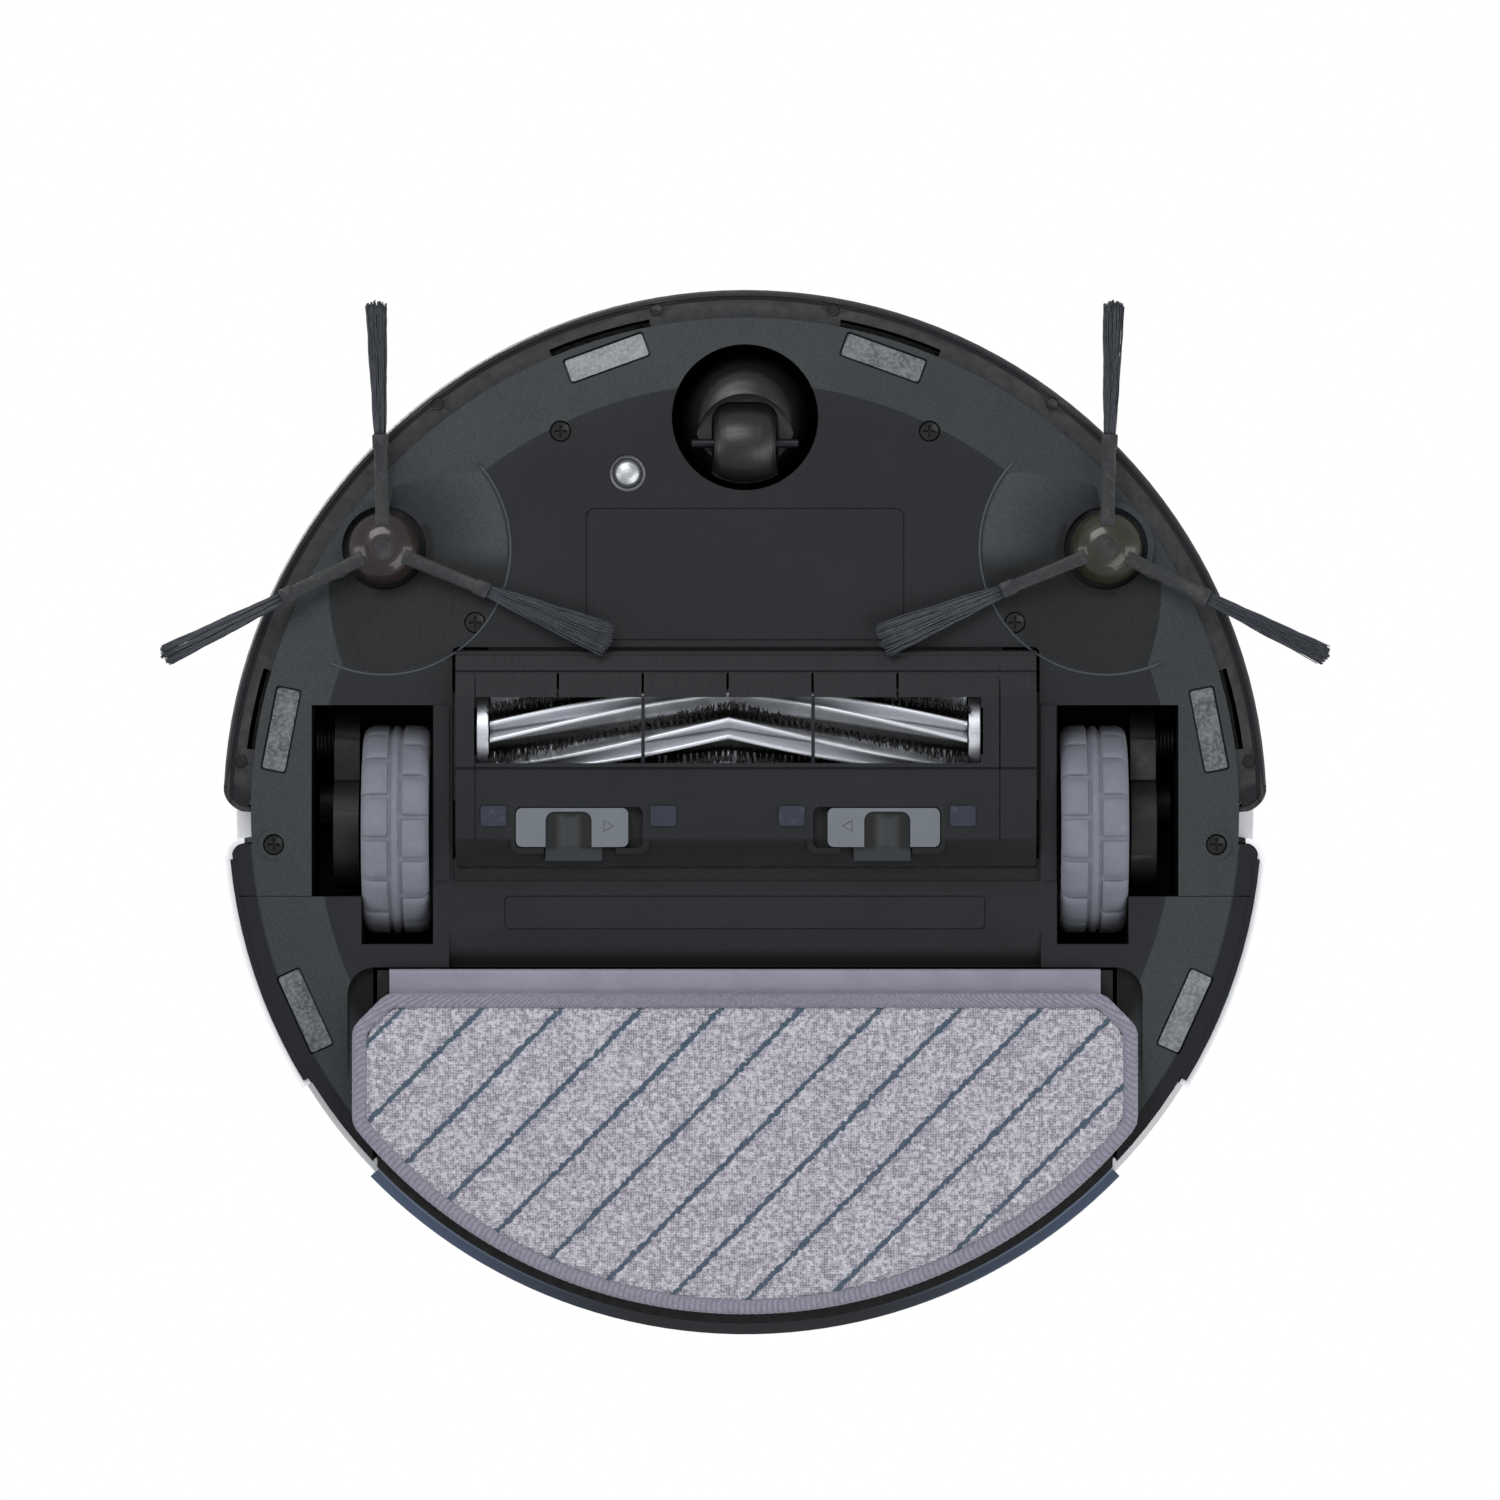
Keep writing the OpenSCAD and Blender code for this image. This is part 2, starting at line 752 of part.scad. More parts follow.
// curved end walls, kept apart from the cuts above
module bumper_ends() {
    both()
        translate([body_r - bumper_turn_r, bumper_turn_y, 0])
            rotate_extrude(angle = 90)
                translate([bumper_turn_r - 1.7, bumper_z + 0.3])
                    square([1.5, bumper_top - bumper_z - 0.8]);
}

module bumper_window() {
    color("#1a1014")
        sector(173.7, body_r, 217.1, 322.9, 42.2, 59.8);
}

module bumper_screws() {
    color("#1c1d1f")
        both()
            for (p = bumper_screw_spots)
                union() {
                    disc(p[0], p[1], 1.9, bumper_flange_z + 0.1, bumper_flange_z + 0.9);
                    disc(p[0], p[1], 1, bumper_flange_z + 0.5, bumper_flange_z + 4.5);
                }
}

// ---------------------------------------------------------------- lid and button

module lid() {
    color("#f0f1f1")
        union() {
            intersection() {
                rotate_extrude()
                    polygon([[0, deck_z + 0.2], [lid_r, deck_z + 0.2], [lid_r, deck_z + 2.2],
                             [lid_r - 0.8, deck_z + cover_t], [0, deck_z + cover_t]]);
                slab(-160, 160, -160, lid_y, 60, 90);
            }
            both() {
                slab(54, 64, lid_y - 4, hinge_y, deck_z + 0.2, deck_z + 2.6);
                bar_x(54, 64, hinge_y, hinge_z, 2.2);
                bar_x(49, 69, hinge_y, hinge_z, 1.5);
            }
        }
}

module power_button() {
    color("#b9bcc0")
        union() {
            translate([0, -button_y, 0])
                rotate_extrude()
                    polygon([[0, deck_z], [6.7, deck_z], [6.7, deck_z + 2.6],
                             [6.1, deck_z + 3.1], [0, deck_z + 3.3]]);
            disc(0, -button_y, 2, deck_z - 2.5, deck_z + 0.5);
        }
}

// ---------------------------------------------------------------- drive wheels

module wheel_arm(s) {
    color("#1d1e20")
        side(s)
            union() {
                difference() {
                    union() {
                        // gear case beside the wheel
                        bar_x(129.5, 138, arm_pivot_y, arm_pivot_z, 10.5);
                        bar_x(129.5, 138, wheel_y, wheel_r, 20);
                        slab(129.5, 138, arm_pivot_y, wheel_y, 24, 48.4);
                        // motor above the gear case
                        bar_x(131, 144, -2, 56, 9);
                        slab(131, 138, -9, 5, 44, 58);
                    }
                    // cooling slots in the motor's end
                    for (i = [-1 : 1])
                        slab(143.2, 145, -2 + i * 4 - 0.7, -2 + i * 4 + 0.7, 50, 62);
                }
                bar_x(137, 147, arm_pivot_y, arm_pivot_z, 3);
                bar_x(107.5, 131, wheel_y, wheel_r, 3);
            }
}

module wheel_arm_left() {
    wheel_arm(-1);
}

module wheel_arm_right() {
    wheel_arm(1);
}

// torsion spring around the arm's pivot, its turns lying against each other
module wheel_spring(s) {
    color(steel)
        side(s)
            translate([138.1, arm_pivot_y, arm_pivot_z])
                rotate([0, 90, 0])
                    difference() {
                        rotate_extrude()
                            for (i = [0 : 4])
                                translate([5.6, 0.75 + i * 1.3])
                                    circle(r = 0.75, $fn = 24);
                        translate([0, 0, -1])
                            cylinder(h = 9, r = 4);
                    }
}

module wheel_spring_left() {
    wheel_spring(-1);
}

module wheel_spring_right() {
    wheel_spring(1);
}

module wheel_hub(s) {
    color("#2b2c2f")
        side(s)
            difference() {
                bar_x(wheel_x - tyre_w / 2 + 1, wheel_x + tyre_w / 2 - 1, wheel_y, wheel_r, 27);
                bar_x(100, 140, wheel_y, wheel_r, 3 + run);
                // dished faces with six round pockets
                bar_x(wheel_x + tyre_w / 2 - 3, 140, wheel_y, wheel_r, 23);
                for (a = [0 : 60 : 300])
                    translate([0, wheel_y, wheel_r])
                        rotate([a, 0, 0])
                            bar_x(100, wheel_x - tyre_w / 2 + 5, 15, 0, 5.5);
            }
}

module wheel_hub_left() {
    wheel_hub(-1);
}

module wheel_hub_right() {
    wheel_hub(1);
}

// tyre: a band with a middle ridge and two staggered rows of blocks
tread_count = 15;

module tyre(s) {
    x0 = wheel_x - tyre_w / 2;
    color("#7c7f88")
        side(s)
            translate([0, wheel_y, wheel_r])
                difference() {
                    union() {
                        bar_x(x0, x0 + tyre_w, 0, 0, wheel_r - 2.6);
                        bar_x(x0 + 9.5, x0 + 12, 0, 0, wheel_r - 1);
                        for (i = [0 : tread_count - 1])
                            for (row = [0, 1])
                                rotate([(i + row / 2) * 360 / tread_count, 0, 0])
                                    tread_block(row ? x0 + 12.6 : x0 + 0.3, 8.4);
                    }
                    bar_x(x0 - 1, x0 + tyre_w + 1, 0, 0, 27);
                }
}

module tread_block(x, w) {
    intersection() {
        slab(x, x + w, -5.7, 5.7, 25, wheel_r + 1);
        bar_x(x, x + w, 0, 0, wheel_r);
    }
}

module tyre_left() {
    tyre(-1);
}

module tyre_right() {
    tyre(1);
}

// ---------------------------------------------------------------- caster

axle_y = -caster_y + caster_trail;
mouth_r = 16.6;    // arched mouth of the fork

module caster_fork() {
    color("#141517")
        difference() {
            union() {
                // domed puck that fills the socket
                translate([0, -caster_y, 0])
                    rotate_extrude()
                        polygon([[0, belly_z + 0.2], [5, belly_z + 0.5], [9, belly_z + 1.3],
                                 [12.5, belly_z + 2.7], [15.5, belly_z + 4.8],
                                 [18.2, belly_z + 7.8], [20.4, belly_z + 12],
                                 [21.7, belly_z + 17], [22, 29], [22, 33], [0, 33]]);
                disc(0, -caster_y, 3, 32, 39);
            }
            // room for the wheel, round in front and open to the rear of the puck
            round_slab(-11.2, 11.2, axle_y - 14, -caster_y + 40, 0, 27, 6.5);
            // wider arched mouth around the axle ends
            disc(0, axle_y, mouth_r, 0, belly_z + 6.5);
            slab(-mouth_r, mouth_r, axle_y, -caster_y + 30, 0, belly_z + 6.5);
            bar_x(-18.4, 18.4, axle_y, caster_wheel_r, 1.5);
        }
}

module caster_axle() {
    color(steel)
        bar_x(-17.8, 17.8, axle_y, caster_wheel_r, 1.5);
}

module caster_wheel() {
    r = caster_wheel_r;
    color("#0f1012")
        translate([0, axle_y, r])
            rotate([0, 90, 0])
                translate([0, 0, -10.3])
                    difference() {
                        rotate_extrude()
                            polygon([[0, 0], [r - 3.2, 0], [r - 1.4, 1.6], [r - 0.5, 4.2],
                                     [r, 8.2], [r, 12.4], [r - 0.5, 16.4], [r - 1.4, 19],
                                     [r - 3.2, 20.6], [0, 20.6]]);
                        translate([0, 0, -1])
                            cylinder(h = 23, r = 1.5 + run);
                    }
}

// ---------------------------------------------------------------- brush cover

module latch_recess() {
    round_slab(-latch_x - gap, -latch_x + latch_w + latch_travel + 0.9,
               latch_y - gap, latch_y + latch_d + gap, 0, 8.1, 2.2);
    slab(-67.2, -47.2 + latch_travel, latch_y + latch_d, cover_y1 + 1, 0, 8.3);
}

module brush_cover() {
    color("#333437")
        difference() {
            union() {
                bar_x(cover_x0, cover_x1, cover_y0 + bead_r, bead_z, bead_r);
                along_x(cover_x0, cover_x1,
                        [[cover_y0 + 0.5, 7.2], [cover_y0 + 1.4, 6.1], [cover_y0 + 6.7, 4.6],
                         [cover_y0 + 7.3, 5.4], [window_y0 - 1, 3.4], [window_y0, 3.2],
                         [window_y1, 3.2], [window_y1 + 1.3, 3.2], [window_y1 + 2, plate_z],
                         [8.7, plate_z], [16.7, 9], [cover_y1, 9.4], [cover_y1, cover_top],
                         [cover_y0 + 0.5, cover_top]]);
                both_latches()
                    round_slab(-78.4, -32, latch_y - 1.8, 13.9, plate_z, 9.5, 3.4);
            }
            // room of the roller and the suction window
            bar_x(roller_x0 - 0.8, roller_x1 + 0.8, roller_y, roller_z, roller_r + 0.5);
            slab(roller_x0, roller_x1, window_y0, window_y1, 0, 20);
            slab(roller_x0 - 0.8, roller_x1 + 0.8, roller_y - 17, roller_y + 17, 10, 20);
            // slits of the comb lip
            for (i = [0 : 4])
                slab(-62.9 + i * 28.35, -62.1 + i * 28.35, cover_y0 + 7.6, window_y0 + 1, 0, 20);
            // lines that set off the left bar and the right end block
            slab(-90.3, -89.9, cover_y0 + 7, cover_y1 + 1, 0, plate_z + 0.5);
            slab(84.8, 85.3, cover_y0 - 1, cover_y1 + 1, 0, plate_z + 0.6);
            both_latches()
                latch_recess();
            // hollow back of the plate
            slab(-94, 94, 0, 14, 9.4, 12);
        }
    // thin bars across the window
    color("#1c1d1f")
        for (x = [-34, 22.7])
            along_x(x - 0.6, x + 0.6,
                    [[window_y0 - 0.5, 3.3], [window_y0 + 3, 0.6], [window_y1 - 3, 0.6],
                     [window_y1 + 0.5, 3.3], [window_y1 + 0.5, 4], [window_y1 - 3, 1.4],
                     [window_y0 + 3, 1.4], [window_y0 - 0.5, 4]]);
}

pad_spots = [-84, -27.3, 15.6, 72.7];

module brush_cover_pads() {
    color("#2b2f45")
        for (x = pad_spots)
            round_slab(x - 4.25, x + 4.25, -2, 4.7, plate_z - 0.8, plate_z, 0.8);
}

module brush_latch(s) {
    color("#7d8288")
        latch_side(s)
            difference() {
                union() {
                    round_slab(-latch_x, -latch_x + latch_w, latch_y, latch_y + latch_d,
                               plate_z + 0.1, 7.8, 2);
                    slab(-66.7, -47.7, latch_y + latch_d - 2, 16.3, 6.4, 7.8);
                }
                // finger notch, dished
                round_slab(-66.6, -51.2, latch_y + 1.2, latch_y + latch_d + 4, 0, 5.3, 3);
                translate([-58.9, latch_y + 2, 0.2])
                    rotate([-90, 0, 0])
                        cylinder(h = latch_d - 1.9, r = 6.8);
                // arrow that points at the other latch
                translate([-45.5, 4.7, plate_z - 1])
                    linear_extrude(1.4)
                        difference() {
                            polygon([[-1.8, -2.1], [1.8, 0], [-1.8, 2.1]]);
                            polygon([[-1.4, -1.5], [1.1, 0], [-1.4, 1.5]]);
                        }
            }
}

module brush_latch_left() {
    brush_latch(1);
}

module brush_latch_right() {
    brush_latch(-1);
}

// ---------------------------------------------------------------- roller

roller_mid = (roller_x0 + roller_x1) / 2;
row_sets = 5;                // each set is two blades and a row of bristles
blade_turns = [-16, 7];      // where they stand in their set, in degrees
bristle_turn = -36;

module roller_core() {
    color("#26272a")
        union() {
            bar_x(roller_x0 + 1, roller_x1 - 1, roller_y, roller_z, 9);
            bar_x(roller_x0 - 3.5, roller_x1 + 9, roller_y, roller_z, 3);
        }
}

// one half of a chevron row set: twisted from the middle towards an end
module chevron_half(length, turn, inner, outer, width, start) {
    linear_extrude(length, twist = turn, slices = 14, $fn = 4)
        for (a = [0 : 360 / row_sets : 359])
            rotate(a + start)
                translate([inner, -width / 2])
                    square([outer - inner, width]);
}

module chevron(inner, outer, width, start) {
    half = (roller_x1 - roller_x0) / 2 - 4.5;
    translate([roller_mid, roller_y, roller_z])
        rotate([0, 90, 0]) {
            chevron_half(half, -75, inner, outer, width, start);
            mirror([0, 0, 1])
                chevron_half(half, -75, inner, outer, width, start);
        }
}

module roller_fins() {
    color(silver)
        for (a = blade_turns)
            chevron(8.6, 14.6, 2.2, a);
}

module roller_bristles() {
    color("#0c0c0d")
        chevron(8.6, roller_r, 1.8, bristle_turn);
}

module roller_caps() {
    color(silver)
        difference() {
            union() {
                bar_x(roller_x0, roller_x0 + 4, roller_y, roller_z, 12.5);
                bar_x(roller_x1 - 4, roller_x1, roller_y, roller_z, 12.5);
            }
            bar_x(roller_x0 + 1, roller_x1 - 1, roller_y, roller_z, 9);
            bar_x(roller_x0 - 1, roller_x1 + 1, roller_y, roller_z, 3);
        }
}

// ---------------------------------------------------------------- side brushes

// directions of the three arms of the right brush
arm_angles = [-88.4, 26.4, 157.6];

module side_brush(s) {
    color("#3c3e42")
        side(s)
            translate([hub_x, -hub_y, 0]) {
                // shaft, hub and the three arms with their upright roots
                translate([0, 0, 3.4])
                    cylinder(h = 20.6, r = 3);
                translate([0, 0, 7.6])
                    cylinder(h = 6.6, r = 8);
                for (a = arm_angles)
                    rotate([0, 0, a]) {
                        slab(8.6, arm_reach, -arm_w / 2, arm_w / 2, arm_z, arm_z + arm_t);
                        slab(7.2, 10.4, -arm_w / 2, arm_w / 2, arm_z, 12.6);
                    }
            }
}

module side_brush_left() {
    side_brush(-1);
}

module side_brush_right() {
    side_brush(1);
}

module side_brush_cap(s, tint) {
    color(tint)
        side(s)
            translate([hub_x, -hub_y, 0])
                difference() {
                    rotate_extrude()
                        polygon([[3, 3.2], [4.2, 3.1], [6.4, 3.6], [9, 5.1], [11.1, 7.4], [12, 9],
                                 [12, 10.5], [8, 10.5], [8, 7.6], [3, 7.6]]);
                    for (a = arm_angles)
                        rotate([0, 0, a])
                            slab(7.2, 14, -arm_w / 2, arm_w / 2, arm_z, 12);
                }
}

module side_brush_cap_left() {
    side_brush_cap(-1, "#4a302c");
}

module side_brush_cap_right() {
    side_brush_cap(1, "#45472a");
}

// a bundle of bristles that widens and drops towards its tip
module bristle_bundle() {
    z0 = arm_z + 0.3;
    polyhedron(
        points = [
            [arm_reach, -1.8, z0], [arm_reach, 1.8, z0],
            [arm_reach, 1.8, z0 + 2], [arm_reach, -1.8, z0 + 2],
            [bristle_reach, -4.5, 1], [bristle_reach, 4.5, 1],
            [bristle_reach, 4.5, 2.6], [bristle_reach, -4.5, 2.6]
        ],
        faces = [[0, 1, 2, 3], [7, 6, 5, 4], [0, 4, 5, 1], [1, 5, 6, 2], [2, 6, 7, 3],
                 [3, 7, 4, 0]]);
}

module side_brush_bristles(s) {
    color("#2c2e33")
        side(s)
            translate([hub_x, -hub_y, 0])
                for (a = arm_angles)
                    rotate([0, 0, a])
                        bristle_bundle();
}

module side_brush_bristles_left() {
    side_brush_bristles(-1);
}

module side_brush_bristles_right() {
    side_brush_bristles(1);
}

// ---------------------------------------------------------------- water tank and mop

module tank_outline(inset) {
    intersection() {
        circle(r = 171 - inset);
        translate([-123 + inset, bay_y + 1 + inset])
            square([246 - 2 * inset, 140]);
    }
}

module water_tank() {
    color("#1b1c1f")
        difference() {
            union() {
                difference() {
                    translate([0, 0, 10.2])
                        linear_extrude(35.8)
                            tank_outline(0);
                    translate([0, 0, 12.4])
                        linear_extrude(31.4)
                            tank_outline(2);
                }
                slab(-14, 14, 160, 169.5, 20, 42);
            }
            slab(-11, 11, 166, 175, 23, 39);
            disc(70, 85, 9, 40, 50);
        }
}

module tank_face() {
    color("#5a6a84")
        difference() {
            sector(171, body_r, tank_a + 0.3, 180 - tank_a - 0.3, 13, tank_top);
            slab(-9.4, 9.4, 160, 180, 25.6, 36.4);
        }
}

module tank_plug() {
    color("#33353a")
        union() {
            disc(70, 85, 9, 43.8, 46);
            disc(70, 85, 11, 46, 48);
        }
}

module tank_button() {
    color("#3f4a5e")
        intersection() {
            slab(-9, 9, 168, 180, 26, 36);
            disc(0, 0, body_r - 0.3, 0, 60, $fn = 360);
        }
}

// outline of the pad: straight sides, chamfered front corners, round rear
module pad_outline(inset) {
    w = pad_half_w - inset;
    y = pad_y + inset;
    intersection() {
        circle(r = pad_r - inset);
        polygon([[-w, 180], [-w, y + 10], [-w + 10, y], [w - 10, y], [w, y + 10], [w, 180]]);
    }
}

module mop_plate() {
    color("#4a4d55")
        union() {
            translate([0, 0, pad_t + 0.2])
                linear_extrude(3.6)
                    pad_outline(2);
            // lip that the flap hangs from
            slab(-118, 118, bay_y + 1, pad_y + 4, pad_t + 0.2, pad_t + 2);
        }
}

module mop_pad() {
    color(lilac)
        translate([0, 0, 0.2])
            linear_extrude(pad_t)
                pad_outline(0);
}

module mop_flap() {
    color("#8f8a98")
        slab(-118.7, 118.7, 52.5, pad_y - 0.2, 4.6, 6.2);
}

base_chassis();
rear_shell();
top_cover();
turret_cap();
lidar_motor();
dust_bin();
bin_filter();
fan_housing();
battery_pack();
main_board();
brush_tunnel();
brush_gearbox();
side_brush_motor_left();
side_brush_motor_right();
caster_socket();
cliff_windows();
carpet_sensor();
chassis_screws();
charging_contacts();
bumper_switches();
bumper();
bumper_window();
bumper_screws();
lidar_rotor();
fan_impeller();
lid();
power_button();
wheel_arm_left();
wheel_arm_right();
wheel_spring_left();
wheel_spring_right();
wheel_hub_left();
wheel_hub_right();
tyre_left();
tyre_right();
caster_fork();
caster_axle();
caster_wheel();
brush_cover();
brush_cover_pads();
brush_latch_left();
brush_latch_right();
roller_core();
roller_fins();
roller_bristles();
roller_caps();
side_brush_left();
side_brush_right();
side_brush_cap_left();
side_brush_cap_right();
side_brush_bristles_left();
side_brush_bristles_right();
water_tank();
tank_face();
tank_plug();
tank_button();
mop_plate();
mop_pad();
mop_flap();
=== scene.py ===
import json
import math
import random

import bmesh
import bpy
import numpy as np
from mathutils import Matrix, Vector, noise


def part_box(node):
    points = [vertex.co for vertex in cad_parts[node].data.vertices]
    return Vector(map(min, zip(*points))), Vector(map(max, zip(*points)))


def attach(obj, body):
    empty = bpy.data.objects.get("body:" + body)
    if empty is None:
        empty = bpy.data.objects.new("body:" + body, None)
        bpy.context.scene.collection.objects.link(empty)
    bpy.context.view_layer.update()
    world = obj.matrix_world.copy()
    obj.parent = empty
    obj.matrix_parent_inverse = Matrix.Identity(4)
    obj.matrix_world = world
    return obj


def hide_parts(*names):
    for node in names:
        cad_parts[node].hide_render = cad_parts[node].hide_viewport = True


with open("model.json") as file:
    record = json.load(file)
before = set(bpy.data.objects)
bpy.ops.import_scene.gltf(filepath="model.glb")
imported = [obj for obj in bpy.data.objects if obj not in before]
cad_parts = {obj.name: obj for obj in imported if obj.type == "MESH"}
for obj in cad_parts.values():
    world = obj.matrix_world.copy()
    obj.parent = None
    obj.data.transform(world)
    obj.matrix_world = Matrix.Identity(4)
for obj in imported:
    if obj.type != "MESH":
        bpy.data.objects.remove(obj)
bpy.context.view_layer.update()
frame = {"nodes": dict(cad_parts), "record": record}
nodes = frame["nodes"]
MM = 0.001

# ------------------------------------------------------------------ places

right_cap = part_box("side_brush_cap_right")
HUB_X = (right_cap[0].x + right_cap[1].x) / 2
HUB_Y = (right_cap[0].y + right_cap[1].y) / 2
HUB = {"left": Vector((-HUB_X, HUB_Y, 0)), "right": Vector((HUB_X, HUB_Y, 0))}
core_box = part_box("roller_core")
ROLLER_Y = (core_box[0].y + core_box[1].y) / 2
ROLLER_Z = (core_box[0].z + core_box[1].z) / 2
caps_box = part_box("roller_caps")
ROLLER_X0, ROLLER_X1 = caps_box[0].x, caps_box[1].x
ROLLER_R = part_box("roller_bristles")[1].z - ROLLER_Z
pad_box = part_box("mop_pad")
flap_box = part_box("mop_flap")
cover_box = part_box("brush_cover")
# half width of the strip behind the brush cover that is painted dark as painted shade
COVER_HALF = (cover_box[1].x - cover_box[0].x) / 2 + 1.5 * MM
# the flat underside's height and radius, and the rise of the band outside it
BELLY_Z = 9.5 * MM
FLAT_R = 143.5 * MM
BAND_SLOPE = 4.5 / 22


# ------------------------------------------------------------------ camera, light, floor

CAMERA_AT = (0.00167, -0.02067, -3.0)


def add_camera():
    """Long lens under the robot, looking straight up with the front at the top."""
    data = bpy.data.cameras.new("camera")
    data.sensor_width = 36
    data.lens = 216
    data.clip_end = 20
    cam = bpy.data.objects.new("camera", data)
    bpy.context.scene.collection.objects.link(cam)
    cam.location = CAMERA_AT
    cam.rotation_euler = (math.pi, 0, 0)
    bpy.context.scene.camera = cam


def add_area(name, location, size, watts, size_y=None):
    """Area light aimed at the origin."""
    data = bpy.data.lights.new(name, "AREA")
    data.shape = "RECTANGLE"
    data.size = size
    data.size_y = size_y or size
    data.energy = watts
    lamp = bpy.data.objects.new(name, data)
    bpy.context.scene.collection.objects.link(lamp)
    lamp.location = location
    lamp.rotation_euler = (-Vector(location)).to_track_quat("-Z", "Y").to_euler()


def add_world():
    """White to the camera, softer and slightly blue as light."""
    world = bpy.data.worlds.new("studio")
    bpy.context.scene.world = world
    world.use_nodes = True
    tree = world.node_tree
    out = tree.nodes["World Output"]
    seen = tree.nodes["Background"]
    seen.inputs["Color"].default_value = (1, 1, 1, 1)
    seen.inputs["Strength"].default_value = 1.0
    lit = tree.nodes.new("ShaderNodeBackground")
    lit.inputs["Color"].default_value = (0.96, 0.98, 1, 1)
    lit.inputs["Strength"].default_value = 0.55
    path = tree.nodes.new("ShaderNodeLightPath")
    mix = tree.nodes.new("ShaderNodeMixShader")
    tree.links.new(path.outputs["Is Camera Ray"], mix.inputs[0])
    tree.links.new(lit.outputs[0], mix.inputs[1])
    tree.links.new(seen.outputs[0], mix.inputs[2])
    tree.links.new(mix.outputs[0], out.inputs["Surface"])


def add_floor():
    """Pale floor that is seen only from above, so the camera looks at the underside through it."""
    mesh = bpy.data.meshes.new("floor")
    half = 4.0
    corners = [(-half, -half, 0), (half, -half, 0), (half, half, 0), (-half, half, 0)]
    mesh.from_pydata(corners, [], [(0, 1, 2, 3)])
    floor = bpy.data.objects.new("floor", mesh)
    bpy.context.scene.collection.objects.link(floor)
    mat = bpy.data.materials.new("floor")
    mat.use_nodes = True
    tree = mat.node_tree
    paint = tree.nodes["Principled BSDF"]
    paint.inputs["Base Color"].default_value = (0.82, 0.82, 0.81, 1)
    paint.inputs["Roughness"].default_value = 0.7
    side = tree.nodes.new("ShaderNodeNewGeometry")
    clear = tree.nodes.new("ShaderNodeBsdfTransparent")
    mix = tree.nodes.new("ShaderNodeMixShader")
    tree.links.new(side.outputs["Backfacing"], mix.inputs[0])
    tree.links.new(paint.outputs[0], mix.inputs[1])
    tree.links.new(clear.outputs[0], mix.inputs[2])
    tree.links.new(mix.outputs[0], tree.nodes["Material Output"].inputs["Surface"])
    mesh.materials.append(mat)
    floor.visible_shadow = False
    floor.visible_diffuse = False
    floor.visible_glossy = False


bpy.context.scene.view_settings.view_transform = "Standard"
add_camera()
add_world()
add_floor()
add_area("key_below", (-0.5, -1.1, -1.5), 1.1, 20)
add_area("fill_below", (0.9, 0.9, -1.4), 1.2, 12)
add_area("strip_left", (-1.3, 0.1, -0.5), 0.5, 5, 1.4)
add_area("strip_right", (1.3, 0.1, -0.5), 0.5, 5, 1.4)
add_area("key_above", (-1.0, -1.0, 1.8), 1.2, 26)
add_area("fill_above", (1.3, 0.8, 1.5), 1.2, 14)


# ------------------------------------------------------------------ material nodes

def rgb(code):
    """Linear colour of a hex code."""
    out = []
    for i in (1, 3, 5):
        v = int(code[i:i + 2], 16) / 255
        out.append(v / 12.92 if v <= 0.04045 else ((v + 0.055) / 1.055) ** 2.4)
    return (*out, 1)


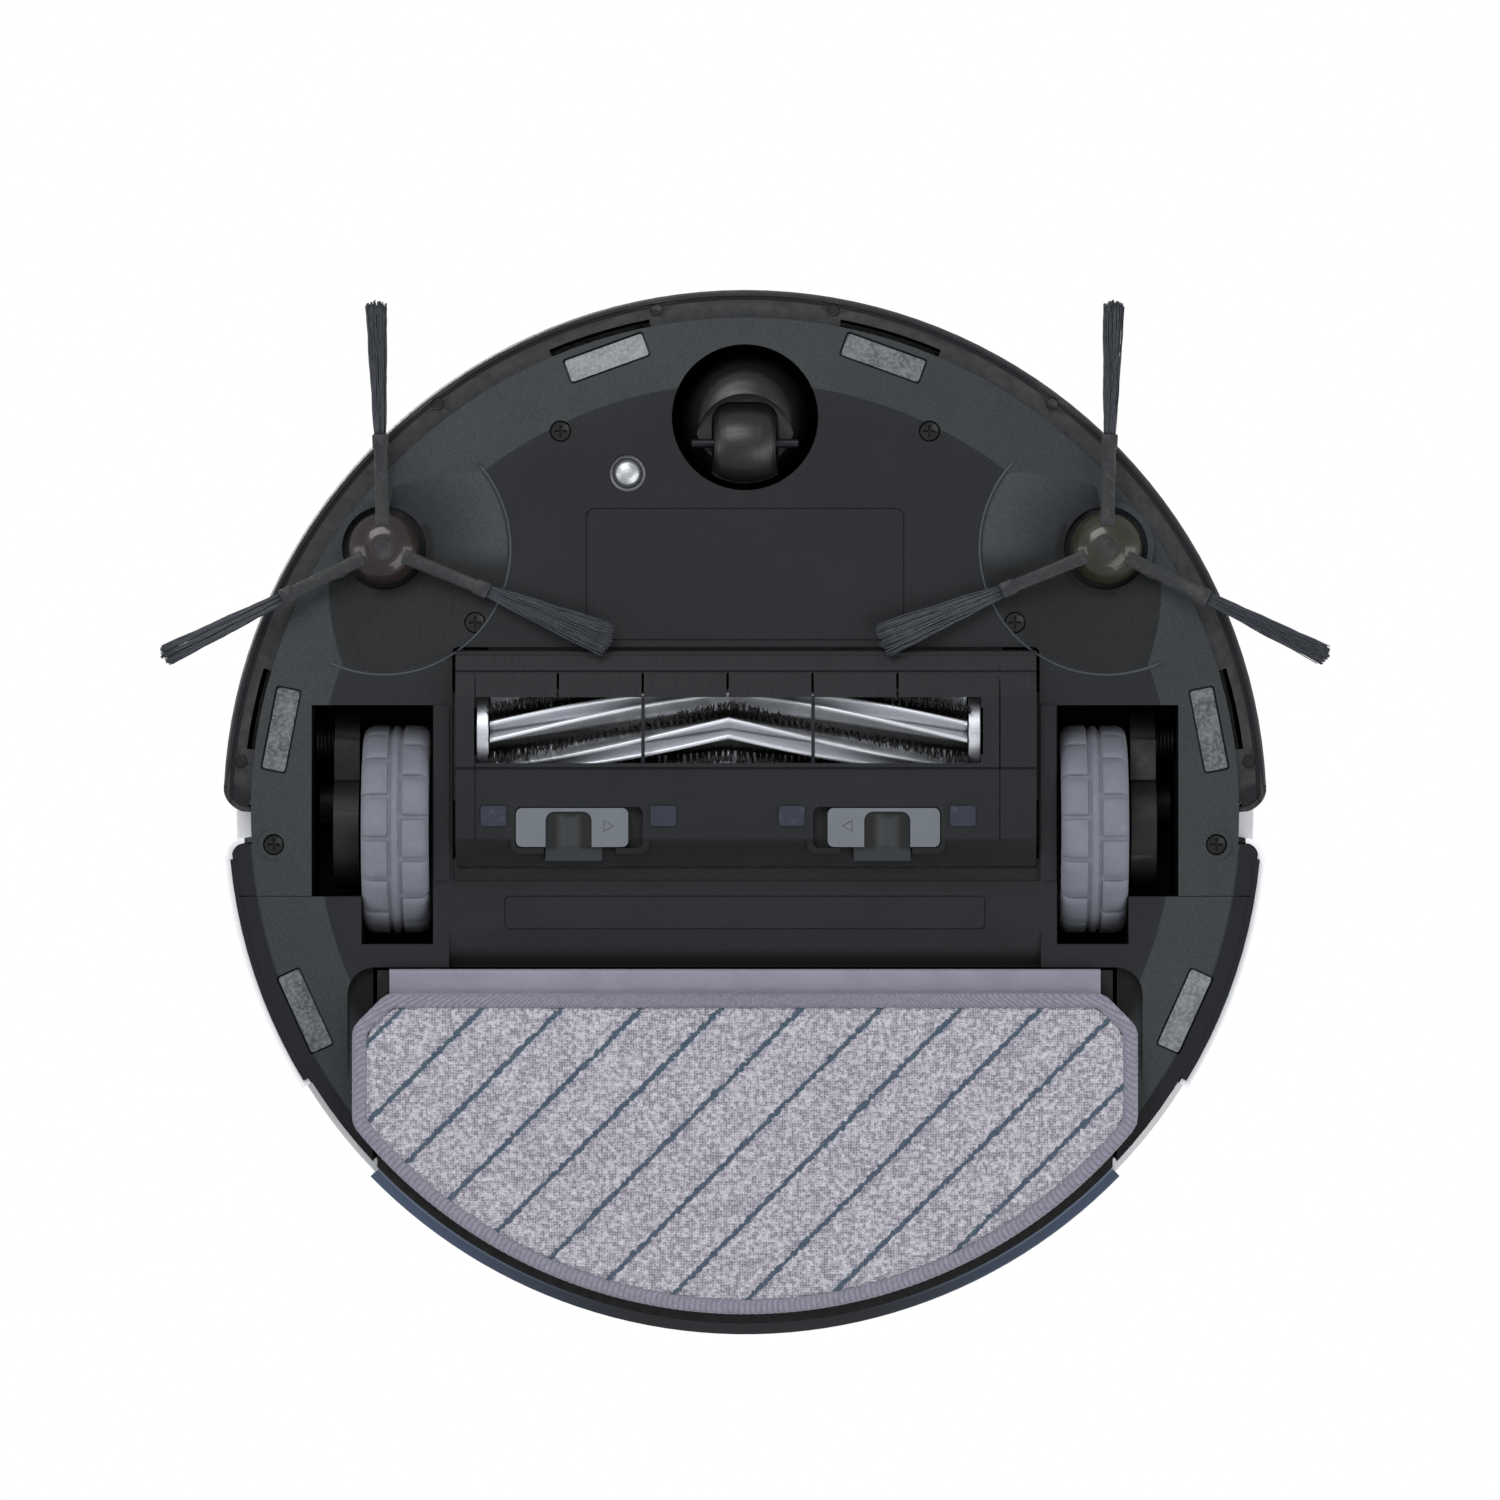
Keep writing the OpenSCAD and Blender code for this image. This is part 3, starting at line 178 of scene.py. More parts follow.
class Graph:
    """A material under construction: short calls that add and link nodes."""

    def __init__(self, name, rough=0.5, metallic=0.0, coat=0.0, coat_rough=0.1, sheen=0.0,
                 transmission=0.0, ior=1.5, specular=0.5):
        self.mat = bpy.data.materials.new(name)
        self.mat.use_nodes = True
        self.tree = self.mat.node_tree
        self.bsdf = self.tree.nodes["Principled BSDF"]
        for key, value in (("Roughness", rough), ("Metallic", metallic),
                           ("Coat Weight", coat), ("Coat Roughness", coat_rough),
                           ("Sheen Weight", sheen), ("Transmission Weight", transmission),
                           ("IOR", ior), ("Specular IOR Level", specular)):
            self.bsdf.inputs[key].default_value = value

    def add(self, kind, *values, **settings):
        node = self.tree.nodes.new(kind)
        for key, value in settings.items():
            setattr(node, key, value)
        for i, value in enumerate(values):
            self.put(node.inputs[i], value)
        return node

    def put(self, socket, value):
        if value is None:
            return
        if isinstance(value, bpy.types.NodeSocket):
            self.tree.links.new(value, socket)
        else:
            socket.default_value = value

    def math(self, op, a, b=None, c=None):
        return self.add("ShaderNodeMath", a, b, c, operation=op).outputs[0]

    def ramp(self, value, low, high):
        """0 below low, 1 above high, smooth between."""
        node = self.add("ShaderNodeMapRange", value, low, high,
                        interpolation_type="SMOOTHSTEP")
        return node.outputs[0]

    def mix(self, fac, a, b):
        node = self.add("ShaderNodeMix", data_type="RGBA")
        self.put(node.inputs[0], fac)
        self.put(node.inputs[6], a)
        self.put(node.inputs[7], b)
        return node.outputs[2]

    def place(self):
        """Position on the object, in metres."""
        return self.add("ShaderNodeTexCoord").outputs["Object"]

    def xyz(self):
        out = self.add("ShaderNodeSeparateXYZ", self.place()).outputs
        return out[0], out[1], out[2]

    def stretch(self, sx, sy, sz):
        node = self.add("ShaderNodeMapping", self.place())
        node.inputs["Scale"].default_value = (sx, sy, sz)
        return node.outputs[0]

    def noise(self, size_mm, detail=3.0, rough=0.55, vector=None):
        node = self.add("ShaderNodeTexNoise", vector or self.place())
        node.inputs["Scale"].default_value = 1000 / size_mm
        node.inputs["Detail"].default_value = detail
        node.inputs["Roughness"].default_value = rough
        return node.outputs[0]

    def bump(self, height, depth_mm, normal=None):
        node = self.add("ShaderNodeBump")
        node.inputs["Strength"].default_value = 1.0
        node.inputs["Distance"].default_value = depth_mm * MM
        self.put(node.inputs["Height"], height)
        self.put(node.inputs["Normal"], normal)
        return node.outputs[0]

    def colour(self, value):
        self.put(self.bsdf.inputs["Base Color"], value)

    def rough(self, value):
        self.put(self.bsdf.inputs["Roughness"], value)

    def normal(self, value):
        self.put(self.bsdf.inputs["Normal"], value)


def shade(c, k):
    return (min(1, c[0] * k), min(1, c[1] * k), min(1, c[2] * k), 1)


def moulded(name, code, rough=0.5, grain=0.35, depth=0.02, spread=0.12, wear=0.25, **kw):
    """Injection-moulded plastic: spark-eroded grain, slow tone drift, scuffed roughness and worn
    edges.
    """
    kw.setdefault("specular", 0.25)
    g = Graph(name, rough=rough, **kw)
    base = rgb(code)
    drift = g.noise(38, 2)
    fine = g.noise(grain, 2, 0.7)
    tone = g.mix(drift, shade(base, 1 - spread), shade(base, 1 + spread))
    tone = g.mix(g.math("MULTIPLY", fine, 0.35), tone, shade(base, 1 - 1.6 * spread))
    point = g.add("ShaderNodeNewGeometry").outputs["Pointiness"]
    edge = g.math("MULTIPLY", g.ramp(point, 0.515, 0.58), wear)
    edge = g.math("MULTIPLY", edge, g.noise(3.5, 4))
    pale = [c + 0.22 * (1 - c) for c in base[:3]]
    g.colour(g.mix(edge, tone, (*pale, 1)))
    scuff = g.noise(1.0, 4, 0.6, g.stretch(0.12, 1.0, 1.0))
    r = g.math("MULTIPLY_ADD", g.ramp(scuff, 0.42, 0.75), 0.12, rough - 0.05)
    g.rough(g.math("MULTIPLY_ADD", drift, 0.08, r))
    g.normal(g.bump(fine, depth))
    return g.mat


def belly_material():
    """Matt underside: dark flat middle, the band on the slope painted lighter as painted light,
    the depths painted almost black as painted shade, painted light and shade on the pods and
    painted shade behind the brush cover.
    """
    g = Graph("belly_plastic", rough=0.62, specular=0.2)
    x, y, z = g.xyz()
    r = g.math("SQRT", g.math("ADD", g.math("MULTIPLY", x, x), g.math("MULTIPLY", y, y)))
    over = g.math("MAXIMUM", g.math("SUBTRACT", r, FLAT_R), 0.0)
    surface = g.math("MULTIPLY_ADD", over, BAND_SLOPE, BELLY_Z)
    depth = g.math("SUBTRACT", z, surface)
    band = g.ramp(r, FLAT_R - 0.1 * MM, FLAT_R + 0.3 * MM)
    dx = g.math("SUBTRACT", g.math("ABSOLUTE", x), HUB_X)
    dy = g.math("SUBTRACT", y, HUB_Y)
    d = g.math("SQRT", g.math("ADD", g.math("MULTIPLY", dx, dx), g.math("MULTIPLY", dy, dy)))
    near_hub = g.math("LESS_THAN", d, 43 * MM)
    in_dish = g.math("MULTIPLY", near_hub, g.ramp(depth, 0.05 * MM, 0.25 * MM))
    # Painted light and shade in the side brush pods: each dish is painted lighter towards its
    # outer edge and darker on its rear side.
    rear_side_shade = g.ramp(dy, -2 * MM, 9 * MM)
    # The flat middle keeps the plastic's own dark tone; the band on the slope is the same plastic
    # painted lighter, as painted light reflected from the bright surroundings.
    flat = g.mix(g.noise(30, 2), rgb("#18191c"), rgb("#1e2023"))
    sloped_lit = g.mix(g.noise(40, 2), rgb("#2a2e30"), rgb("#343839"))
    lobe_light = g.mix(g.ramp(d, 14 * MM, 42 * MM), rgb("#232629"), rgb("#393d40"))
    dish = g.mix(rear_side_shade, lobe_light, rgb("#17191b"))
    tone = g.mix(band, flat, sloped_lit)
    tone = g.mix(in_dish, tone, dish)
    # Painted shade: the step behind the brush cover is darkened towards a very dark grey.
    beside = g.math("LESS_THAN", g.math("ABSOLUTE", x), COVER_HALF)
    step = g.math("MULTIPLY", g.ramp(y, 8.6 * MM, 9.4 * MM), g.ramp(y, 30 * MM, 18 * MM))
    tone = g.mix(g.math("MULTIPLY", g.math("MULTIPLY", step, beside), 0.62), tone, rgb("#0a0a0c"))
    rim = g.ramp(r, 165.7 * MM, 166.1 * MM)
    tone = g.mix(rim, tone, rgb("#15161a"))
    # Painted shade: recesses over about 2 mm deep outside the pods and over about 4 mm deep inside
    # them are painted almost black.
    black = g.math("MULTIPLY", g.ramp(depth, 1.9 * MM, 3.4 * MM),
                   g.math("SUBTRACT", 1.0, near_hub))
    pit_shade = g.math("MULTIPLY", near_hub, g.ramp(depth, 3.9 * MM, 4.6 * MM))
    tone = g.mix(g.math("MAXIMUM", black, pit_shade), tone, rgb("#050506"))
    fine = g.noise(0.45, 2, 0.75)
    speck = g.mix(g.ramp(fine, 0.35, 0.75), (0.72, 0.72, 0.72, 1), (1.35, 1.35, 1.35, 1))
    node = g.add("ShaderNodeMix", data_type="RGBA", blend_type="MULTIPLY")
    g.put(node.inputs[0], 1.0)
    g.put(node.inputs[6], tone)
    g.put(node.inputs[7], speck)
    g.colour(node.outputs[2])
    scuff = g.noise(1.2, 4, 0.6, g.stretch(1.0, 0.1, 1.0))
    g.rough(g.math("MULTIPLY_ADD", g.ramp(scuff, 0.45, 0.8), 0.12, 0.55))
    g.normal(g.bump(fine, 0.03))
    return g.mat


def brushed(name, code, rough=0.3, metallic=1.0, lines=(0.05, 1, 1)):
    """Metal or metallic paint with fine drawn lines."""
    g = Graph(name, rough=rough, metallic=metallic)
    streak = g.noise(0.5, 3, 0.6, g.stretch(*lines))
    base = rgb(code)
    g.colour(g.mix(streak, shade(base, 0.8), shade(base, 1.12)))
    g.rough(g.math("MULTIPLY_ADD", streak, 0.25, rough - 0.08))
    g.normal(g.bump(streak, 0.02))
    return g.mat


def rubber(name, code, rough=0.6):
    """Dull rubber with blotches and pale dust."""
    g = Graph(name, rough=rough, specular=0.35, sheen=0.15)
    base = rgb(code)
    blotch = g.noise(9, 4)
    fine = g.noise(0.7, 3, 0.7)
    dust = g.ramp(g.noise(2.4, 5, 0.65), 0.5, 0.75)
    tone = g.mix(blotch, shade(base, 0.85), shade(base, 1.12))
    pale = [c + 0.1 for c in base[:3]]
    g.colour(g.mix(g.math("MULTIPLY", dust, 0.25), tone, (*pale, 1)))
    g.rough(g.math("MULTIPLY_ADD", fine, 0.2, rough - 0.1))
    g.normal(g.bump(fine, 0.05))
    return g.mat


def window_material():
    """Frosted sensor window with the faint upright ribs of its moulding."""
    g = Graph("window_clear", rough=0.32, coat=0.2, coat_rough=0.1, transmission=0.15)
    cell = g.noise(5, 3)
    rib = g.noise(1.2, 2, 0.5)
    tone = g.mix(g.ramp(cell, 0.35, 0.65), rgb("#3b4043"), rgb("#565c60"))
    g.colour(g.mix(g.math("MULTIPLY", g.ramp(rib, 0.45, 0.6), 0.35), tone, rgb("#868b8e")))
    g.normal(g.bump(rib, 0.06))
    return g.mat


def bristle_material(name, code):
    """Nylon bristles of uneven tone."""
    g = Graph(name, rough=0.42, specular=0.45)
    base = rgb(code)
    strand = g.noise(0.6, 2)
    g.colour(g.mix(strand, shade(base, 0.6), shade(base, 1.5)))
    g.rough(g.math("MULTIPLY_ADD", strand, 0.2, 0.34))
    g.normal(g.bump(strand, 0.03))
    return g.mat


LOOP_PITCH = 1.25 * MM
STRIPE_ANGLE = math.radians(44.8)
STRIPE_STEP = 26.6 * MM * math.sin(STRIPE_ANGLE)
STRIPE_FROM = (-109.7 * math.sin(STRIPE_ANGLE) + 61 * math.cos(STRIPE_ANGLE)) * MM


def terry_material():
    """Terry cloth: looped lilac pile with rows of dark blue yarn and painted shade between the
    loops.
    """
    g = Graph("mop_cloth", rough=0.95, sheen=0.35, specular=0.15)
    x, y, _ = g.xyz()
    shift = g.math("MULTIPLY_ADD", g.noise(3.0, 3, 0.6), 1.6 * MM, 0)
    k = 2 * math.pi / (LOOP_PITCH * math.sqrt(2))
    u = g.math("SINE", g.math("MULTIPLY", g.math("ADD", g.math("ADD", x, y), shift), k))
    v = g.math("SINE", g.math("MULTIPLY", g.math("SUBTRACT", g.math("SUBTRACT", x, y), shift), k))
    dot = g.math("MULTIPLY_ADD", g.math("MULTIPLY", u, v), 0.5, 0.5)
    clump = g.noise(1.5, 4, 0.65)
    tone = g.mix(g.ramp(clump, 0.3, 0.7), rgb("#8b8894"), rgb("#c8c5cd"))
    # Painted shade between the loops of the pile.
    loop_gap_shade = g.math("MULTIPLY", g.ramp(dot, 0.62, 0.1), g.ramp(clump, 0.62, 0.4))
    tone = g.mix(g.math("MULTIPLY", loop_gap_shade, 0.8), tone, rgb("#5a5663"))
    along = g.math("ADD", g.math("MULTIPLY", x, math.sin(STRIPE_ANGLE)),
                   g.math("MULTIPLY", y, math.cos(STRIPE_ANGLE)))
    wobble = g.math("MULTIPLY_ADD", g.noise(2.0, 3, 0.7), 3.4 * MM, -1.7 * MM)
    place = g.math("DIVIDE", g.math("SUBTRACT", g.math("ADD", along, wobble), STRIPE_FROM),
                   STRIPE_STEP)
    away = g.math("ABSOLUTE", g.math("SUBTRACT", place, g.math("ROUND", place)))
    row = g.math("SUBTRACT", 1.0, g.ramp(away, 0.034, 0.055))
    g.colour(g.mix(g.math("MULTIPLY", row, 0.9), tone, rgb("#2a4357")))
    g.normal(g.bump(g.math("ADD", clump, dot), 0.45))
    return g.mat


def tape_material():
    """Woven edge tape with overlock stitches."""
    g = Graph("binding_tape", rough=0.85, sheen=0.3, specular=0.2)
    x, y, z = g.xyz()
    turn = g.math("ARCTAN2", y, x)
    twill = g.math("SINE", g.math("ADD", g.math("MULTIPLY", turn, 560.0),
                                  g.math("MULTIPLY", z, 4000.0)))
    worn = g.noise(1.4, 3)
    tone = g.mix(worn, rgb("#63626f"), rgb("#92909d"))
    g.colour(g.mix(g.math("MULTIPLY", g.ramp(twill, 0.2, 0.9), 0.5), tone, rgb("#55546a")))
    g.normal(g.bump(g.math("ADD", twill, worn), 0.12))
    return g.mat


def satin_material():
    """Satin ribbon of the mop's front flap, with painted light and shade following its folds."""
    g = Graph("flap_cloth", rough=0.48, sheen=0.4, specular=0.4)
    warp = g.noise(0.35, 2, 0.5, g.stretch(0.05, 1, 1))
    fold = g.noise(16, 3)
    # Painted light and shade: the ribbon is painted lighter where its folds rise and darker where
    # they sink.
    tone = g.mix(fold, rgb("#686574"), rgb("#8a8795"))
    g.colour(g.mix(g.math("MULTIPLY", warp, 0.4), tone, rgb("#6e6a7c")))
    g.rough(g.math("MULTIPLY_ADD", warp, 0.2, 0.4))
    g.normal(g.bump(warp, 0.05, g.bump(fold, 0.7)))
    return g.mat


def latch_material():
    """Grey latch plate; its finger notch and its tongue lie deeper and are painted with shade,
    darkest next to the plate and dark grey further in.
    """
    g = Graph("latch_grey", rough=0.45, specular=0.3)
    _, _, z = g.xyz()
    fine = g.noise(0.35, 2, 0.7)
    plate = g.mix(g.noise(12, 2), rgb("#595e64"), rgb("#676c72"))
    # Painted shade in the notch and the tongue.
    hollow_shade = g.mix(g.ramp(z, 5.6 * MM, 6.9 * MM), rgb("#0d0e0f"), rgb("#2c3033"))
    g.colour(g.mix(g.ramp(z, 5.0 * MM, 5.25 * MM), plate, hollow_shade))
    g.normal(g.bump(fine, 0.02))
    return g.mat


def tank_material():
    """Smoked blue wall of the water tank, with painted reflection: dark in the middle, lighter
    towards its ends, and a painted highlight along its lower edge.
    """
    g = Graph("tank_blue", rough=0.18, coat=0.3, coat_rough=0.05)
    x, y, z = g.xyz()
    # Painted reflection: the wall is painted dark in the middle and lighter blue-grey towards its
    # ends.
    out = g.ramp(g.math("ABSOLUTE", x), 30 * MM, 118 * MM)
    r = g.math("SQRT", g.math("ADD", g.math("MULTIPLY", x, x), g.math("MULTIPLY", y, y)))
    inner = g.math("SUBTRACT", 1.0, g.ramp(r, 171.3 * MM, 172.2 * MM))
    tone = g.mix(out, rgb("#06080d"), rgb("#3c4a61"))
    # Painted highlight: a pale line along the lower edge, strongest towards the ends.
    tone = g.mix(g.math("MULTIPLY", g.math("MULTIPLY", inner, out), 0.6), tone, rgb("#8793a8"))
    g.colour(g.mix(g.math("MULTIPLY", g.noise(7, 2), 0.12), tone, rgb("#2c3748")))
    g.normal(g.bump(g.noise(2.5, 2), 0.01))
    return g.mat


def board_material():
    """Green circuit board with square raised parts."""
    g = Graph("board_green", rough=0.4, coat=0.3)
    cells = g.add("ShaderNodeTexVoronoi", g.place(), distance="CHEBYCHEV")
    cells.inputs["Scale"].default_value = 260
    part = g.ramp(cells.outputs["Distance"], 0.28, 0.3)
    g.colour(g.mix(part, rgb("#26292b"), rgb("#1f5a37")))
    g.normal(g.bump(part, -0.4))
    return g.mat


def pleated(name, code):
    """Pleated filter paper, painted darker in the valleys of its pleats as painted shade."""
    g = Graph(name, rough=0.9)
    x, _, _ = g.xyz()
    fold = g.math("SINE", g.math("MULTIPLY", x, 2400.0))
    base = rgb(code)
    # Painted shade: darker in the valleys of the pleats.
    g.colour(g.mix(g.ramp(fold, -0.8, 0.8), shade(base, 0.7), base))
    g.normal(g.bump(fold, 0.5))
    return g.mat


MATERIALS = {
    "belly_plastic": belly_material(),
    "black_plastic": moulded("black_plastic", "#0c0d0e", 0.5, 0.5, 0.03, 0.2),
    "gloss_black": moulded("gloss_black", "#101113", 0.38, 0.6, 0.006, 0.2, 0.1, specular=0.5),
    "bumper_plastic": moulded("bumper_plastic", "#15161a", 0.42, 0.3, 0.02, 0.1, 0.2),
    "smoked_window": moulded("smoked_window", "#120c10", 0.12, 1, 0.003, 0.2, 0, coat=1),
    "white_plastic": moulded("white_plastic", "#e9eaec", 0.3, 0.8, 0.006, 0.02, 0, coat=0.3),
    "grey_plastic": moulded("grey_plastic", "#4a4d55", 0.55, 0.4, 0.03, 0.12),
    "latch_grey": latch_material(),
    "silver_plastic": brushed("silver_plastic", "#c9ccd2", 0.34, 0.55, (0.05, 1, 1)),
    "steel": brushed("steel", "#b9bbbe", 0.36, 0.9, (1, 1, 0.4)),
    "contact_metal": brushed("contact_metal", "#c8b27a", 0.25, 1.0, (1, 1, 0.05)),
    "window_clear": window_material(),
    "tyre_rubber": rubber("tyre_rubber", "#696c77", 0.62),
    "arm_rubber": rubber("arm_rubber", "#1d1f22", 0.5),
    "bristle": bristle_material("bristle", "#33363d"),
    "cap_red": moulded("cap_red", "#251c1b", 0.3, 0.5, 0.008, 0.15, 0.15, coat=0.5),
    "cap_olive": moulded("cap_olive", "#25271b", 0.3, 0.5, 0.008, 0.15, 0.15, coat=0.5),
    "pad_blue": rubber("pad_blue", "#1d2031", 0.5),
    "tank_blue": tank_material(),
    "bin_plastic": moulded("bin_plastic", "#3b3f44", 0.15, 1, 0.005, 0.1, 0.1, coat=0.6),
    "filter_paper": pleated("filter_paper", "#dfe2e0"),
    "board_green": board_material(),
    "battery_wrap": moulded("battery_wrap", "#20438a", 0.3, 1.5, 0.02, 0.08, 0, coat=0.4),
    "mop_cloth": terry_material(),
    "flap_cloth": satin_material(),
}
TAPE = tape_material()
BLACK_BRISTLE = bristle_material("black_bristle", "#08080a")
BLACK_STEEL = brushed("black_steel", "#26272a", 0.4, 0.8, (1, 1, 0.3))
# Caster socket: almost black and barely reflecting, as painted shade in the narrow space round the
# caster fork.
SOCKET_SHADE = moulded("socket_shade", "#030303", 0.8, 0.5, 0.02, 0.1, 0, specular=0.05)
# Pod rims in a paler grey than the dark plastic round them: painted highlight on a moulded ridge.
RIM_HIGHLIGHT = moulded("rim_highlight", "#3c4043", 0.5, 0.4, 0.01, 0.1)
TANK_BLACK = moulded("tank_black", "#060608", 0.4, 0.5, 0.01, 0.2, 0.1, specular=0.15)


# ------------------------------------------------------------------ carried-over CAD nodes

slot_of = {row["node"]: row["material_slot"] for row in frame["record"]["subparts"]}


def sharp_edges_tree():
    """Geometry nodes that mark edges over 30 degrees as sharp, for smooth shading elsewhere."""
    tree = bpy.data.node_groups.new("sharp_edges", "GeometryNodeTree")
    tree.interface.new_socket("Geometry", in_out="INPUT", socket_type="NodeSocketGeometry")
    tree.interface.new_socket("Geometry", in_out="OUTPUT", socket_type="NodeSocketGeometry")
    start, end = tree.nodes.new("NodeGroupInput"), tree.nodes.new("NodeGroupOutput")
    angle = tree.nodes.new("GeometryNodeInputMeshEdgeAngle")
    over = tree.nodes.new("ShaderNodeMath")
    over.operation = "GREATER_THAN"
    over.inputs[1].default_value = math.radians(30)
    smooth = tree.nodes.new("GeometryNodeSetShadeSmooth")
    smooth.domain = "EDGE"
    smooth.inputs["Shade Smooth"].default_value = False
    tree.links.new(start.outputs[0], smooth.inputs["Geometry"])
    tree.links.new(angle.outputs["Unsigned Angle"], over.inputs[0])
    tree.links.new(over.outputs[0], smooth.inputs["Selection"])
    tree.links.new(smooth.outputs[0], end.inputs[0])
    return tree


SHARP = sharp_edges_tree()
UNBEVELLED = {"base_chassis", "bumper", "top_cover", "brush_tunnel", "water_tank",
              "tyre_left", "tyre_right", "rear_shell", "brush_cover"}
# The caster socket's look is painted shade.
LOOKS = {"caster_axle": BLACK_STEEL, "wheel_spring_left": BLACK_STEEL,
         "wheel_spring_right": BLACK_STEEL,
         "caster_socket": SOCKET_SHADE, "water_tank": TANK_BLACK}


def dress(name, bevel=0.3, angle=32):
    """Smooth shading, eased edges and the slot's material on a CAD node."""
    o = nodes[name]
    mesh = o.data
    if "custom_normal" in mesh.attributes:
        mesh.attributes.remove(mesh.attributes["custom_normal"])
    mesh.shade_smooth()
    weld = o.modifiers.new("weld", "WELD")
    weld.merge_threshold = 0.00001
    if name in UNBEVELLED:
        o.modifiers.new("sharp", "NODES").node_group = SHARP
    else:
        ease = o.modifiers.new("ease", "BEVEL")
        ease.limit_method = "ANGLE"
        ease.angle_limit = math.radians(angle)
        ease.width = bevel * MM
        ease.segments = 2
        ease.harden_normals = True
        ease.use_clamp_overlap = True
    mesh.materials.clear()
    mesh.materials.append(LOOKS.get(name) or MATERIALS[slot_of[name]])


for name in nodes:
    dress(name)


# ------------------------------------------------------------------ mesh helpers

def add_mesh(name, verts, faces, material, body):
    """A smooth-shaded visual piece that moves with body."""
    mesh = bpy.data.meshes.new(name)
    mesh.from_pydata([tuple(v) for v in verts], [], faces)
    mesh.validate()
    o = bpy.data.objects.new(name, mesh)
    bpy.context.scene.collection.objects.link(o)
    mesh.materials.append(material)
    mesh.shade_smooth()
    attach(o, body)
    return o


def bake(o):
    """Applies every modifier of o to its mesh."""
    graph = bpy.context.evaluated_depsgraph_get()
    graph.update()
    mesh = bpy.data.meshes.new_from_object(o.evaluated_get(graph))
    old = o.data
    o.modifiers.clear()
    o.data = mesh
    bpy.data.meshes.remove(old)


class Batch:
    """Collects the points and faces of one piece."""

    def __init__(self):
        self.verts, self.faces = [], []

    def loft(self, rings, closed_ends=True):
        """Joins rings of the same number of points."""
        start, n = len(self.verts), len(rings[0])
        for ring in rings:
            self.verts.extend(ring)
        for i in range(len(rings) - 1):
            a, b = start + i * n, start + (i + 1) * n
            for j in range(n):
                k = (j + 1) % n
                self.faces.append((a + j, a + k, b + k, b + j))
        if closed_ends:
            self.faces.append(tuple(range(start + n - 1, start - 1, -1)))
            last = start + (len(rings) - 1) * n
            self.faces.append(tuple(range(last, last + n)))

    def strand(self, points, r0, r1, sides=4):
        """A tapered round bristle along points."""
        rings = []
        count = len(points) - 1
        for i, p in enumerate(points):
            ahead = points[min(i + 1, count)] - points[max(i - 1, 0)]
            u = ahead.cross(Vector((0.31, 0.17, 0.93))).normalized()
            v = ahead.cross(u).normalized()
            r = r0 + (r1 - r0) * i / count
            rings.append([p + u * (r * math.cos(a)) + v * (r * math.sin(a))
                          for a in (2 * math.pi * k / sides for k in range(sides))])
        self.loft(rings)


def rounded_box_ring(w, t, r, n=3):
    """Points of a rounded rectangle w x t about the origin."""
    out = []
    for cx, cy, a0 in ((1, 1, 0), (-1, 1, 90), (-1, -1, 180), (1, -1, 270)):
        for i in range(n + 1):
            a = math.radians(a0 + 90 * i / n)
            out.append((cx * (w / 2 - r) + r * math.cos(a),
                        cy * (t / 2 - r) + r * math.sin(a)))
    return out


# ------------------------------------------------------------------ side brushes

ARM_ANGLES = (-88.4, 26.4, 157.6)
ARM_Z = 5.75 * MM
# distance from the axis, width and thickness along an arm, in millimetres
ARM_STATIONS = ((7.4, 5.0, 3.4), (9, 5.0, 3.2), (11, 4.7, 2.8), (15, 4.5, 2.5), (24, 4.3, 2.4),
                (33.0, 4.3, 2.4), (33.6, 5.2, 3.1), (37.4, 5.4, 3.2), (38.0, 4.8, 2.8))
# radius and height along the hub that carries the arms, in millimetres
HUB_PROFILE = ((3.0, 3.4), (3.9, 3.0), (4.3, 3.3), (4.4, 4.4), (4.4, 8.0), (8, 8.0),
               (8, 14.2), (3, 14.2), (3, 24))


def brush_arms(side):
    """Three rubber arms with crowned faces and a collar that grips the bristles."""
    batch = Batch()
    hub = HUB[side]
    flip = 1 if side == "right" else -1
    for angle in ARM_ANGLES:
        a = math.radians(angle)
        ahead = Vector((math.cos(a), math.sin(a), 0))
        across = Vector((-math.sin(a), math.cos(a), 0))
        rings = []
        for r, w, t in ARM_STATIONS:
            ring = []
            for u, v in rounded_box_ring(w * MM, t * MM, 0.7 * MM):
                p = ahead * (r * MM) + across * u + Vector((0, 0, ARM_Z + v))
                ring.append(hub + Vector((p.x * flip, p.y, p.z)))
            rings.append(ring if flip > 0 else ring[::-1])
        batch.loft(rings)
    rings = []
    for r, z in HUB_PROFILE:
        rings.append([hub + Vector((r * MM * math.cos(t), r * MM * math.sin(t), z * MM))
                      for t in (2 * math.pi * k / 32 for k in range(32))])
    batch.loft([ring[::-1] for ring in rings])
    o = add_mesh("brush_arms_" + side, batch.verts, batch.faces, MATERIALS["arm_rubber"],
                 f"side_brush_{side}_body")
    ease = o.modifiers.new("ease", "BEVEL")
    ease.limit_method = "ANGLE"
    ease.angle_limit = math.radians(40)
    ease.width = 0.25 * MM
    ease.segments = 2
    bake(o)
    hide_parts("side_brush_" + side)


# half width at the tip and tuft count of each arm's bundle
BUNDLES = ((3.4, 2), (3.4, 3), (5.6, 4))
BRISTLES_PER_ARM = 132
BRISTLE_ROOT = 37 * MM
BRISTLE_LENGTH = 45.5
FLOOR_GAP = 1.1 * MM


